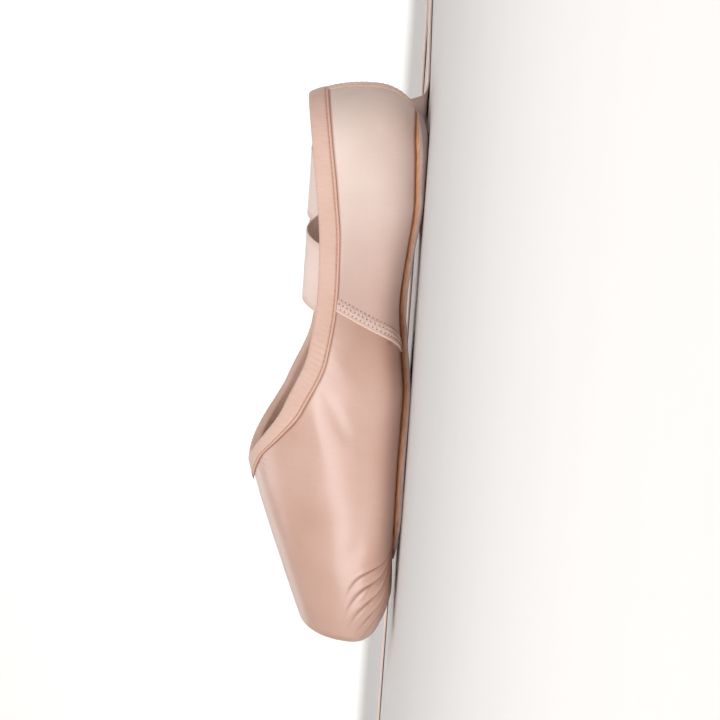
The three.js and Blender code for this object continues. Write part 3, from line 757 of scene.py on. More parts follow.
# Vamp: deep peach, with a bright broad gloss along the wing; its line colour is that of the painted shade
VAMP_SATIN = make_satin(
    "duchesse_satin_vamp", light="D9B3A3", dark="CEA391", line="8E573E",
    roughness=0.33, coat=0.5, sheen=0.08, streak=0.035,
)
# Quarters: paler and duller than the vamp; their line colour is that of the painted shade
QUARTER_SATIN = make_satin(
    "stretch_satin_quarter", light="ECD8CE", dark="E3C9BD", line="A66C50",
    roughness=0.5, coat=0.1, sheen=0.25, streak=0.03,
)
# Lining and sock: off-white and chalky, the sock a shade darker
COTTON_LINING = make_woven(
    "cotton_drill_lining", light="F7EFE6", dark="EBDFD2", pitch=0.9, roughness=0.9, sheen=0.25
)
SOCK_COTTON = make_woven(
    "cotton_sock_lining", light="F0E5DA", dark="E2D3C5", pitch=0.8, roughness=0.92, sheen=0.2
)
# Binding: matte warm peach, darker with painted shade in its stitches' groove and along its lower edge
CASING = make_ribbed(
    "cotton_binding_casing", light="E6C5B6", dark="DAB2A1", edge="BE8163",
    rib=0.62, roughness=0.72, sheen=0.25,
)
# Ribbon: pale pink with a silky bloom and firm edges
RIBBON_CLOTH = make_ribbed(
    "nylon_satin_ribbon", light="F0DCD3", dark="E6CDC3", edge="DEC2B7",
    rib=0.55, roughness=0.45, sheen=0.3,
)
# Tape and seam: half glossy folds of satin, a shade warmer and darker than the quarters. The tape's edge
# colour is painted shadow down its groove, the seam's pale one a painted highlight on its ridge
TAPE_SATIN = make_ribbed(
    "satin_back_tape", light="ECCDBC", dark="E0B9A6", edge="C8947A",
    rib=0.7, roughness=0.5, sheen=0.25,
)
SEAM_SATIN = make_ribbed(
    "folded_satin_seam", light="E6CEC4", dark="DCBFB3", edge="F0CDB6",
    rib=0.8, roughness=0.5, sheen=0.25,
)
SOLE_SUEDE = make_suede()
SOLE_EDGE = make_cut_edge()
# Threads: pale on the seams, peach in the binding's groove, brown at the throat; dark dots of painted shade
# in the needle holes
PALE_THREAD = make_thread("pale_sewing_thread", light="F4E0D3", dark="DDBBA8")
CASING_THREAD = make_thread("peach_casing_thread", light="E3B197", dark="C48B6D")
DARK_THREAD = make_thread("brown_knot_thread", light="A56A50", dark="7C4A37")
NEEDLE_HOLE_SHADE = make_thread("painted_needle_hole_shade", light="B48D7B", dark="997362")

# Ribbons
RIBBON_STEP = 4.0  # between lines across the straight runs
RIBBON_BEND_LINES = 14  # lines across each sharp bend
RIBBON_ACROSS = 17
RIBBON_HALF_THICKNESS = 0.22
SELVAGE = 1.1  # width of the firm woven edge
SELVAGE_SWELL = 0.35  # how much thicker it is
SELVAGE_SLOPE = 0.3  # distance from the edge where it starts to thin
SELVAGE_LINE = 0.6  # share of it that has the edge's full colour
FLOOR_WAVE = 0.1  # height of the slack's waves on the floor
FOLD_PRESS = 0.72  # share of its height that a fold on the floor loses
FLAT_HEIGHT = 0.5  # of a ribbon that lies flat
LYING_HEIGHTS = (4, 14)  # below these the ribbon lies on the floor, above them it hangs


def ribbon_point(start, bends, distance, across):
    """A point of a laid ribbon and its face's direction. The ribbon runs straight, and rolls over a
    round line at each bend, so it never stretches."""
    origin, run, wide = (part.copy() for part in start)
    ahead = distance
    for straight, bend, radius, skew_degrees in bends:
        skew = math.radians(skew_degrees)
        angle = math.radians(bend)
        whole_roll = radius * abs(angle)
        face = run.cross(wide)
        axis = wide * math.cos(skew) + run * math.sin(skew)
        forward = run * math.cos(skew) - wide * math.sin(skew)
        past_start = (ahead - straight) * math.cos(skew) - across * math.sin(skew)
        if past_start <= 0:
            break
        roll = min(past_start, whole_roll)
        turned = roll / whole_roll * angle
        origin += run * straight + forward * radius * math.sin(abs(turned))
        origin += face * math.copysign(radius, angle) * (1 - math.cos(turned))
        forward = forward * math.cos(turned) + face * math.sin(turned)
        run = forward * math.cos(skew) + axis * math.sin(skew)
        wide = axis * math.cos(skew) - forward * math.sin(skew)
        origin += wide * roll * math.sin(skew) + run * roll * math.sin(skew) * math.tan(skew)
        ahead -= straight + roll / math.cos(skew)
        if roll < whole_roll:
            break
    return origin + run * ahead + wide * across, run.cross(wide)


def ribbon_lines(bends):
    """Lines across the ribbon, each with its place along the middle and its skew."""
    knots = [(0.0, 0.0)]
    at = 0.0
    for straight, bend, radius, skew_degrees in bends:
        skew = math.radians(skew_degrees)
        rolled = radius * math.radians(abs(bend)) / math.cos(skew)
        at += straight
        knots += [(at + rolled * k / RIBBON_BEND_LINES, skew) for k in range(RIBBON_BEND_LINES + 1)]
        at += rolled
    knots.append((RIBBON_LENGTH, 0.0))
    lines = [knots[0]]
    for (from_at, from_skew), (to_at, to_skew) in zip(knots, knots[1:]):
        parts = max(1, math.ceil((to_at - from_at) / RIBBON_STEP))
        for k in range(1, parts + 1):
            share = k / parts
            lines.append((from_at + (to_at - from_at) * share, from_skew + (to_skew - from_skew) * share))
    return lines


def floor_settling(points):
    """How far the ribbon sinks as its folds press flat, and its slack in long low waves on the floor."""
    x, y, z = np.moveaxis(points, -1, 0)
    # Two waves that cross, with the millimetres to a radian of each
    wave = 1 + 0.6 * np.sin(x / 15 + 0.8 * np.sin(y / 19)) + 0.4 * np.sin(y / 11 + x / 23)
    sunk = FOLD_PRESS * np.maximum(0, z - FLAT_HEIGHT)
    return (FLOOR_WAVE * wave - sunk) * (1 - smooth_step(*LYING_HEIGHTS, z))


def make_ribbon(word):
    side = SIDES[word]
    bends = RIBBON_BENDS[word]
    _, _, _, first_skew = bends[0]
    slant = math.radians(first_skew)
    up_wall = Vector((0, -side * math.sin(RIBBON_LEAN), math.cos(RIBBON_LEAN)))
    to_toe = Vector((-1, 0, 0))
    run = up_wall * math.cos(slant) + to_toe * math.sin(slant)
    wide = to_toe * math.cos(slant) - up_wall * math.sin(slant)
    start = (Vector((RIBBON_START.x, side * RIBBON_START.y, RIBBON_START.z)), run, wide)
    across = np.linspace(-RIBBON_WIDTH / 2, RIBBON_WIDTH / 2, RIBBON_ACROSS)
    across[1] = -RIBBON_WIDTH / 2 + SELVAGE / 2
    across[-2] = RIBBON_WIDTH / 2 - SELVAGE / 2
    lines = ribbon_lines(bends)
    distances = np.array([[at + y * math.tan(skew) for y in across] for at, skew in lines])
    distances = np.clip(distances, 0, RIBBON_LENGTH)
    found = [[ribbon_point(start, bends, d, y) for d, y in zip(row, across)] for row in distances]
    points = np.array([[point[:] for point, _ in row] for row in found])
    faces = np.array([[face[:] for _, face in row] for row in found])
    points[..., 2] += floor_settling(points)
    to_edge = RIBBON_WIDTH / 2 - np.abs(across)
    thick = RIBBON_HALF_THICKNESS * (1 + SELVAGE_SWELL * (1 - smooth_step(SELVAGE_SLOPE, SELVAGE, to_edge)))
    half = faces * thick[None, :, None]
    layers = [points - half, points + half]
    piece, (_, row, column) = layered_piece(f"ribbon_tape_{word}", layers, [RIBBON_CLOTH])
    edge = 1 - smooth_step(SELVAGE * SELVAGE_LINE, SELVAGE, to_edge)
    set_attribute(piece, "lay", np.stack([distances[row, column], across[column], edge[column]], -1))
    attach(piece, "ribbon", f"ribbon_{word}")
    return piece


ribbons = [make_ribbon(word) for word in SIDES]

# Upper
OUTER_ROWS = 142
INNER_ROWS = 26
LINING_PANEL = 2  # after the vamp, 0, and the quarter, 1
# Pleats gathered under the toe: heading from the middle of the fan, depth of the valley, its width,
# its run beyond the outsole's edge, and how far it swings aside on the way.
PLEATS = table("heading depth width run swing", [
    (-76.0, 0.9, 0.75, 46, 41),
    (-70.5, 0.6, 0.52, 36, 31),
    (-66.5, 1.3, 0.80, 47, 37),
    (-61.0, 0.7, 0.52, 36, 26),
    (-56.5, 1.5, 0.82, 47, 31),
    (-51.0, 0.7, 0.52, 35, 20),
    (-47.0, 1.6, 0.80, 45, 23),
    (-42.5, 0.6, 0.50, 33, 13),
    (-38.0, 1.5, 0.78, 42, 15),
    (-33.0, 0.6, 0.48, 31, 8),
    (-29.0, 1.4, 0.75, 38, 9),
    (-20.5, 1.25, 0.72, 36, 5),
    (-11.5, 1.15, 0.70, 34, 2),
    (-2.0, 1.1, 0.70, 33, 0),
    (7.5, 1.15, 0.70, 34, -1),
    (17.0, 1.25, 0.72, 36, -4),
    (26.5, 1.4, 0.75, 38, -8),
    (32.0, 0.6, 0.48, 30, -7),
    (37.0, 1.5, 0.78, 42, -13),
    (41.5, 0.6, 0.50, 32, -12),
    (46.5, 1.6, 0.80, 45, -22),
    (52.0, 0.7, 0.52, 36, -20),
    (57.0, 1.5, 0.82, 47, -31),
    (62.0, 0.7, 0.52, 35, -25),
    (67.0, 1.3, 0.80, 47, -37),
    (76.0, 0.9, 0.75, 46, -41),
])
# A pleat's section, in widths of its valley: a steep side that eases along the run, a gentle side,
# and a swollen fold beside the steep one.
PLEAT_STEEP = 0.55
PLEAT_STEEP_EASE = 0.5
PLEAT_GENTLE = 1.4
PLEAT_NARROWING = 0.2
FOLD_ASIDE = 1.9
FOLD_WIDTH = 1.3
FOLD_HEIGHT = 0.42  # as a share of the valley's depth
LINE_WIDTH = 0.5  # of the shadow in the valley
LINE_SPREAD = 0.3
PLEAT_FADE = (0.4, 1.0)  # shares of the run between which a pleat fades out
PLEAT_OVERRUN = 1.3  # share of the run where its swing stops
# The pleats run out towards the platform, between these distances from the toe and these heights
PLATFORM_ZONE = (6, 16)
FACE_FOOT = (9, 18)
TOE_HEADING = 89  # degrees to either side that the pleated columns stay within
# Soft troughs and ridges in the cloth: side, start and end by distance from the toe and height,
# height of the ridge (below 0 a trough), and width.
CREASES = [
    # side, from_toe, height, to from_toe, to height, rise, width
    (NEAR, 117, 11, 131, 21, -0.40, 4.0),
    (NEAR, 112, 37, 92, 25, -0.28, 3.2),
    (NEAR, 105, 41, 80, 33, 0.20, 3.5),
    (NEAR, 126, 33, 108, 20, 0.22, 4.0),
    (NEAR, 150, 31, 170, 19, -0.28, 5.0),
    (NEAR, 158, 36, 184, 30, 0.20, 4.5),
    (NEAR, 203, 11, 221, 24, -0.25, 4.0),
    (NEAR, 50, 16, 32, 26, -0.30, 5.0),
    (FAR, 114, 12, 129, 23, -0.42, 4.2),
    (FAR, 116, 36, 97, 23, -0.26, 3.4),
    (FAR, 101, 42, 84, 32, 0.20, 3.5),
    (FAR, 152, 29, 173, 17, -0.30, 5.0),
    (FAR, 160, 37, 181, 31, 0.20, 4.0),
    (FAR, 206, 12, 219, 27, -0.22, 4.0),
    (FAR, 47, 15, 30, 27, -0.28, 5.0),
]
CREASE_STARTS = (-0.25, 0.3)  # shares of the length between which a crease sets in
CREASE_ENDS = (0.6, 1.25)
CREASE_SIDE = (8, 16)  # distances from the shoe's middle between which it sets in
# Gathers along the rim: their length, drift and swell in millimetres to a radian, and where from the
# toe they grow smaller, beside the throat and at the quarters
GATHER_LENGTH = 0.36
GATHER_DRIFT = 5.3
GATHER_SWELL = 8.1
THROAT_SIDE = (72, 90)
QUARTER_FRONT = (120, 150)
# Gathers of the satin just below the binding
GATHER_HEIGHT = 0.16
GATHER_SPREAD = 4.0
# Shade of the outside, from 0 to 1: thin lines with their offset and width, and soft shadows with how
# far from the sole and the seam they reach
LINE_SHADE = 0.8
SEAM_LINE_SHADE = 0.7
BINDING_LINE = (0.1, 0.5)
SOLE_LINE = (0.2, 1.1)
SEAM_LINE = (0.3, 0.7)
SOLE_SHADE = 0.1
SOLE_SHADE_ON_VAMP = 0.4
SOLE_SHADE_REACH = 26.0
VAMP_SHADE = 0.3
VAMP_SHADE_REACH = 24.0
QUARTER_SHADE = 0.42
QUARTER_SHADE_REACH = 58.0
# Wear on the platform's face, by distance from the toe, and more on its lower edge, by height
FACE_WEAR = 0.16
FACE_ZONE = (1, 7)
EDGE_WEAR = 0.5
EDGE_ZONE = (9, 17)


def pleat_relief(columns, points, beyond_sole):
    """Height of the pleats, sharp valleys with a fold beside each, and the shadow lines in them."""
    heading = np.degrees(columns["heading"])[:, None]
    from_toe = from_toe_of(points)
    from_fan = np.hypot(from_toe - SPINE_TOE_BELOW, points[..., 1])
    below_face = 1 - smooth_step(*FACE_FOOT, points[..., 2])
    off_platform = np.maximum(smooth_step(*PLATFORM_ZONE, from_toe), below_face)
    off_platform *= np.abs(heading) < TOE_HEADING
    relief = np.zeros(points.shape[:2])
    valley = np.zeros(points.shape[:2])
    for middle, depth, width, run, swing in zip(*PLEATS.values()):
        share = np.clip(beyond_sole / run, 0, PLEAT_OVERRUN)
        aside = np.radians(heading - middle - swing * share**2) * from_fan
        aside *= 1 if middle < 0 else -1
        fade = (1 - smooth_step(*PLEAT_FADE, share)) * off_platform
        narrow = width * (1 - PLEAT_NARROWING * np.minimum(share, 1))
        side_width = np.where(aside < 0, PLEAT_STEEP + PLEAT_STEEP_EASE * share, PLEAT_GENTLE)
        cut = bump_at(aside, side_width * narrow) * fade
        fold = bump_at(aside + FOLD_ASIDE * narrow, FOLD_WIDTH * narrow) * fade
        relief += depth * (FOLD_HEIGHT * fold - cut)
        line = bump_at(aside, (LINE_WIDTH + LINE_SPREAD * share) * narrow)
        valley = np.maximum(valley, line * np.sqrt(fade) * min(1, depth))
    return relief, valley


def crease_relief(points):
    relief = np.zeros(points.shape[:2])
    for side, start_at, start_z, end_at, end_z, rise, width in CREASES:
        length = math.hypot(end_at - start_at, end_z - start_z)
        run_x = (end_at - start_at) / length
        run_z = (end_z - start_z) / length
        x = from_toe_of(points) - start_at
        z = points[..., 2] - start_z
        share = (x * run_x + z * run_z) / length
        ends = smooth_step(*CREASE_STARTS, share) * (1 - smooth_step(*CREASE_ENDS, share))
        on_side = smooth_step(*CREASE_SIDE, side * points[..., 1])
        relief += rise * bump_at(z * run_x - x * run_z, width) * ends * on_side
    return relief


def seam_aside(columns, points, distances):
    """Distance from the side seam's line, above 0 on the heel's side of it."""
    low = columns["sole_length"][:, None] + SEAM_LINE_FOOT
    high = columns["length"][:, None] - BINDING_OUTSIDE
    share = np.clip((distances - low) / (high - low), 0, 1)
    return from_toe_of(points) - (SEAM_LOW + (SEAM_HIGH - SEAM_LOW) * share)


def rim_places(columns):
    """Places round the rim in mm, one for each column."""
    return running_total(step_lengths(columns["points"][:, -1]))


def rim_gathers(columns):
    """The small uneven gathers that a drawn casing makes, between -1 and 1, one height for each column.
    They are largest at the throat and small along the quarters."""
    at = rim_places(columns)
    from_toe = from_toe_of(columns["points"][:, -1])
    wave = np.sin(at / GATHER_LENGTH + 1.5 * np.sin(at / GATHER_DRIFT))
    wave *= 0.6 + 0.4 * np.sin(at / GATHER_SWELL)
    smaller = 0.4 * smooth_step(*THROAT_SIDE, from_toe) + 0.45 * smooth_step(*QUARTER_FRONT, from_toe)
    return wave * (1 - smaller)


def upper_shade(aside, beyond_sole, to_rim, valley):
    """Thin shadow lines beside the binding, sole and seam and in the pleats, and a soft shadow low on
    the wall and to both sides of the seam."""
    on_vamp = 1 - smooth_step(-SEAM_WIDTH / 2, 0, aside)
    soft = (SOLE_SHADE + SOLE_SHADE_ON_VAMP * on_vamp) * (1 - smooth_step(0, SOLE_SHADE_REACH, beyond_sole))
    soft += VAMP_SHADE * on_vamp * (1 - smooth_step(0, VAMP_SHADE_REACH, -aside))
    soft += QUARTER_SHADE * (1 - on_vamp) * (1 - smooth_step(0, QUARTER_SHADE_REACH, aside))

    def thin_line(distance, line):
        offset, width = line
        return bump_at(distance - offset, width)

    return np.maximum.reduce([
        soft,
        LINE_SHADE * valley,
        LINE_SHADE * thin_line(to_rim - BINDING_OUTSIDE, BINDING_LINE),
        LINE_SHADE * thin_line(np.maximum(0, beyond_sole), SOLE_LINE),
        SEAM_LINE_SHADE * thin_line(-aside - SEAM_WIDTH / 2, SEAM_LINE),
    ])


def upper_wear(points):
    on_platform = 1 - smooth_step(*FACE_ZONE, from_toe_of(points))
    low_edge = on_platform * (1 - smooth_step(*EDGE_ZONE, points[..., 2]))
    return EDGE_WEAR * low_edge + FACE_WEAR * on_platform


def make_upper(columns):
    distances = row_distances(columns, OUTER_ROWS)
    outer = up_columns(columns, distances)
    beyond_sole = distances - columns["sole_length"][:, None]
    to_rim = columns["length"][:, None] - distances
    aside = seam_aside(columns, outer, distances)
    pleats, valley = pleat_relief(columns, outer, beyond_sole)
    below_binding = bump_at(to_rim - BINDING_OUTSIDE - 1, GATHER_SPREAD)
    gathers = GATHER_HEIGHT * rim_gathers(columns)[:, None] * below_binding
    relief = pleats + crease_relief(outer) + gathers
    relief *= smooth_step(BINDING_OUTSIDE - 1, BINDING_OUTSIDE + 1.5, to_rim)
    inner = up_columns(columns, row_distances(columns, INNER_ROWS))
    inner = inner - last_normal(inner) * wall_at(inner)[..., None]
    loops = np.concatenate([outer + last_normal(outer) * relief[..., None], inner[:, ::-1]], 1)
    # The inside has rows of its own, after those of the outside
    inner_rows = ((0, 0), (0, INNER_ROWS))
    values = {
        "shade": np.pad(upper_shade(aside, beyond_sole, to_rim, valley), inner_rows),
        "wear": np.pad(upper_wear(outer), inner_rows),
    }
    panel = np.pad((aside > 0).astype(int), inner_rows, constant_values=LINING_PANEL)
    materials = [VAMP_SATIN, QUARTER_SATIN, COTTON_LINING]
    piece = ring_piece("satin_upper", loops, materials, values, panel)
    attach(piece, "satin", "upper")


make_upper(columns_round_shoe(heel_count=34, side_count=86, pleated_count=300))

# Binding: a folded casing round the rim. Each row of its section gives the distance below the rim and
# how far the casing stands off the wall there, and outside also how much of the edge's colour it has,
# which is painted shade along its lower edge and in the stitches' groove.
CASING_OUTSIDE = [
    (7.5, 0.08, 1.0), (7.42, 0.42, 0.7), (7.1, 0.7, 0.1), (6.75, 0.78, 0.0), (6.45, 0.72, 0.3),
    (6.2, 0.52, 0.9), (5.95, 0.74, 0.3), (5.6, 0.95, 0.0), (4.9, 1.06, 0.0), (4.0, 1.12, 0.0),
    (2.8, 1.16, 0.0), (1.6, 1.2, 0.0), (0.5, 1.2, 0.0),
]
CASING_INSIDE = [
    (0.5, 1.1), (1.6, 1.0), (2.8, 0.92), (3.9, 0.85), (4.8, 0.75), (5.3, 0.5), (5.5, 0.1),
    (5.4, 0.03), (3.0, 0.03), (0.3, 0.03),
]
CASING_BACK = [(0.3, 0.03), (3.5, 0.03), (7.3, 0.03)]
CASING_BACK_RIM = (-0.9, -0.1)  # places over the rim, as shares of the wall
CASING_BACK_LIFT = 0.06
CASING_RIM_POINTS = 8
CASING_RIM_STAND = 1.15
CASING_RIM_BASE = 0.15
CASING_RIM_LIFT = 1.5
CASING_GATHER = 0.2
RIM_GATHER = 0.6  # share of the gathers that lifts the rim
UPRIGHT_DROP = 1.5  # how far below the rim its upward direction starts
GATHERED_FROM = (7.5, 6.6)  # distances below the rim between which the gathers set in
# The casing's ends meet in a notch at the throat's point
THROAT_ZONE = 100.0
NOTCH_DEPTH = 1.7
NOTCH_WIDTH = 1.5
JOIN_DEPTH = 0.3
JOIN_WIDTH = 0.4
# Painted shade in the join at the throat
JOIN_SHADE = 0.7


def wall_points(columns, drop, stand, inside=False):
    """Points beside the wall at a distance below the rim, off the outside or the inside."""
    points = up_columns(columns, (columns["length"] - drop)[:, None])[:, 0]
    normals = last_normal(points)
    if inside:
        return points - normals * (wall_at(points) + stand)[:, None]
    return points + normals * np.broadcast_to(stand, len(points))[:, None]


def make_binding(columns):
    rim = columns["points"][:, -1]
    normals = last_normal(rim)
    up = unit(rim - up_columns(columns, (columns["length"] - UPRIGHT_DROP)[:, None])[:, 0])
    wall = wall_at(rim)
    gathers = CASING_GATHER * rim_gathers(columns)
    at_throat = from_toe_of(rim) < THROAT_ZONE
    notch = NOTCH_DEPTH * bump_at(rim[:, 1], NOTCH_WIDTH) * at_throat
    join = bump_at(rim[:, 1], JOIN_WIDTH) * at_throat
    rows = []
    for drop, stand, _ in CASING_OUTSIDE:
        uneven = (gathers - JOIN_DEPTH * join) * smooth_step(*GATHERED_FROM, drop)
        rows.append(wall_points(columns, drop, stand + uneven))
    for k in range(CASING_RIM_POINTS):
        turn = math.pi * (k + 0.5) / CASING_RIM_POINTS
        out = (wall / 2 + CASING_RIM_STAND + gathers) * math.cos(turn) - wall / 2
        lift = CASING_RIM_BASE + (CASING_RIM_LIFT + RIM_GATHER * gathers - notch) * math.sin(turn)
        rows.append(rim + normals * out[:, None] + up * lift[:, None])
    rows += [wall_points(columns, drop, stand, inside=True) for drop, stand in CASING_INSIDE]
    rows += [rim + normals * (wall * share)[:, None] + up * CASING_BACK_LIFT for share in CASING_BACK_RIM]
    rows += [wall_points(columns, drop, stand) for drop, stand in CASING_BACK]
    loops = np.stack(rows, 1)
    # The edge colour here is painted shade: along the lower edge, in the stitches' groove and at the throat's
    # join
    edge = np.zeros(len(rows))
    edge[: len(CASING_OUTSIDE)] = [row[2] for row in CASING_OUTSIDE]
    edge = np.maximum(edge, JOIN_SHADE * join[:, None])
    across = running_total(step_lengths(loops[0]))
    lay = np.stack(np.broadcast_arrays(rim_places(columns)[:, None], across, edge), -1)
    piece = ring_piece("collar_binding", loops, [CASING], {"lay": lay}, angle=50)
    attach(piece, "binding", "binding")


rim_columns = columns_round_shoe(heel_count=90, side_count=250, pleated_count=230)
make_binding(rim_columns)

# Stitches: one thread, modelled once and copied along each row. Sizes are length and width.
STITCH_ROUND = 0.7  # power that makes the ends of a stitch blunt
BINDING_STITCH = (1.35, 0.42)
BINDING_STITCH_PITCH = 2.1
BINDING_STITCH_DROP = 6.2  # the groove of the stitches, below the rim
BINDING_STITCH_STAND = 0.68
KNOT_STITCH = (2.2, 0.7)
KNOT_STAND = 1.0
KNOT_DROPS = np.array([6.2, 7.0, 7.8, 6.6, 7.4])
KNOT_SHIFTS = np.array([-4, -1, 0, 2, 4])  # in columns from the throat's point
KNOT_RUNS = np.array([(1, 0.15, 0.3), (1, -0.45, 0.3), (1, 0.15, 0.3), (1, -0.45, 0.3), (1, 0.15, 0.3)])
RUN_REACH = 0.3  # to either side of a stitch, for the direction of its row


def thread_shape(length, width):
    """Points and faces of one stitch that lies along X, a squashed ball."""
    bpy.ops.mesh.primitive_uv_sphere_add(segments=8, ring_count=6, radius=0.5)
    ball = bpy.context.object
    points = np.array([v.co[:] for v in ball.data.vertices])
    faces = [tuple(face.vertices) for face in ball.data.polygons]
    mesh = ball.data
    bpy.data.objects.remove(ball)
    bpy.data.meshes.remove(mesh)
    blunt = np.sign(points[:, 2]) * np.abs(2 * points[:, 2]) ** STITCH_ROUND / 2
    return np.stack([blunt * length, points[:, 0] * width, points[:, 1] * width], -1), faces


def sew(name, middles, runs, normals, size, material, slot):
    """A piece of equal stitches. Each lies along its run, with its own normal upwards."""
    shape, faces = thread_shape(*size)
    runs = unit(runs)
    sides = unit(np.cross(normals, runs))
    axes = np.stack([runs, sides, np.cross(runs, sides)], 1)
    points = (shape @ axes + middles[:, None, :]).reshape(-1, 3) * MM
    all_faces = [tuple(c + k * len(shape) for c in face) for k in range(len(middles)) for face in faces]
    mesh = bpy.data.meshes.new(name)
    mesh.from_pydata(points.tolist(), [], all_faces)
    mesh.materials.append(material)
    piece = bpy.data.objects.new(name, mesh)
    bpy.context.collection.objects.link(piece)
    bpy.context.view_layer.objects.active = piece
    piece.select_set(True)
    edit_all()
    bpy.ops.mesh.normals_make_consistent(inside=False)
    bpy.ops.object.mode_set(mode="OBJECT")
    bpy.ops.object.shade_smooth()
    piece.select_set(False)
    attach(piece, slot)


def spread_along(points, pitch):
    """Places along a line of points at an even pitch, and the line's direction there."""
    lengths = running_total(step_lengths(points))
    count = max(2, int(round(lengths[-1] / pitch)))
    wanted = (np.arange(count) + 0.5) * lengths[-1] / count
    shifts = (-RUN_REACH, 0, RUN_REACH)
    before, middles, after = (points_along(points, lengths, wanted + shift) for shift in shifts)
    return middles, after - before


def sew_binding(columns):
    line = wall_points(columns, BINDING_STITCH_DROP, BINDING_STITCH_STAND)
    middles, runs = spread_along(np.concatenate([line, line[:1]]), BINDING_STITCH_PITCH)
    sew("binding_stitches", middles, runs, last_normal(middles), BINDING_STITCH, CASING_THREAD, "binding")


def tie_throat(columns):
    """The drawn ends of the casing are caught at the throat's point with a small dark bar of thread."""
    middle = int(np.argmin(np.abs(columns["heading"])))
    picked = {key: value[middle + KNOT_SHIFTS] for key, value in columns.items()}
    points = up_columns(picked, (picked["length"] - KNOT_DROPS)[:, None])[:, 0]
    normals = last_normal(points)
    middles = points + normals * KNOT_STAND
    sew("throat_knot", middles, KNOT_RUNS, normals, KNOT_STITCH, DARK_THREAD, "binding")


sew_binding(rim_columns)
tie_throat(rim_columns)

# Strips on the wall: from just under its face, with a soft round edge
STRIP_ROOT = 0.15
STRIP_SHOULDER = 0.55  # as a share of the height
STRIP_ROUNDING = 0.03  # as a share of the half width


def strip_layers(points, normals, heights):
    middle = points.mean(1, keepdims=True)
    return [
        points - normals * STRIP_ROOT,
        points + normals * (heights * STRIP_SHOULDER)[..., None],
        points + (middle - points) * STRIP_ROUNDING + normals * heights[..., None],
    ]


# Side seams: the quarter's folded edge on the vamp, with a ridge along its front and two zigzag rows.
# Places across are off the seam's middle.
SEAM_ROWS = 70
SEAM_ACROSS = 15
SEAM_LENGTH = 42.0  # for the scale of the cloth's pattern
SEAM_FOOT = 0.2  # from the outsole's edge
SEAM_MARGIN = 5.0  # of stations beyond the seam's ends
SEAM_THICKNESS = 0.42
SEAM_THINNING = 0.9  # towards the quarter
SEAM_THIN_ZONE = (0.4, 2.4)
SEAM_RIDGE = 0.3
SEAM_RIDGE_AT = -1.95
SEAM_RIDGE_WIDTH = 0.45
# Painted highlight along the ridge, in the seam's pale edge colour
SEAM_RIDGE_HIGHLIGHT = 0.8
SEAM_GROOVE = 0.1
SEAM_GROOVE_AT = -1.1
SEAM_GROOVE_WIDTH = 0.3
ZIGZAG_ROWS = (0.25, 2.15)  # the second is on the quarter itself
ZIGZAG_POINTS = 46
ZIGZAG_ENDS = (0.02, 0.98)  # shares of the way up
ZIGZAG_REACH = 0.95  # the rows meet, so there are three lines of needle holes
ZIGZAG_LIFT = 0.12
ZIGZAG_STITCH = (1.9, 0.36)
# Needle holes: dark dots of painted shade, length and width
NEEDLE_HOLE = (0.7, 0.52)


def seam_surface():
    """The near seam's middle line and width on the last, as a function of share up and shift across."""
    stations = np.arange(SEAM_LOW - SEAM_MARGIN, SEAM_HIGH + SEAM_MARGIN + 1, 1.0)
    columns = make_columns(stations, stations, np.full(len(stations), -math.pi / 2))
    low = columns["sole_length"] + SEAM_FOOT
    high = columns["length"] - BINDING_OUTSIDE + STRIP_UNDER_BINDING

    def point(share, shift):
        share, shift = np.broadcast_arrays(np.asarray(share, float), np.asarray(shift, float))
        at = SEAM_LOW + (SEAM_HIGH - SEAM_LOW) * share + shift
        k = np.clip((at - stations[0]).astype(int), 0, len(stations) - 2)
        t = (at - stations[k])[..., None]
        found = []
        for index in (k, k + 1):
            wanted = low[index] + (high - low)[index] * share
            pairs = zip(index.ravel(), wanted.ravel())
            flat = [points_along(columns["points"][c], columns["lengths"][c], d) for c, d in pairs]
            found.append(np.array(flat).reshape(*share.shape, 3))
        return onto_last(found[0] * (1 - t) + found[1] * t)

    return point


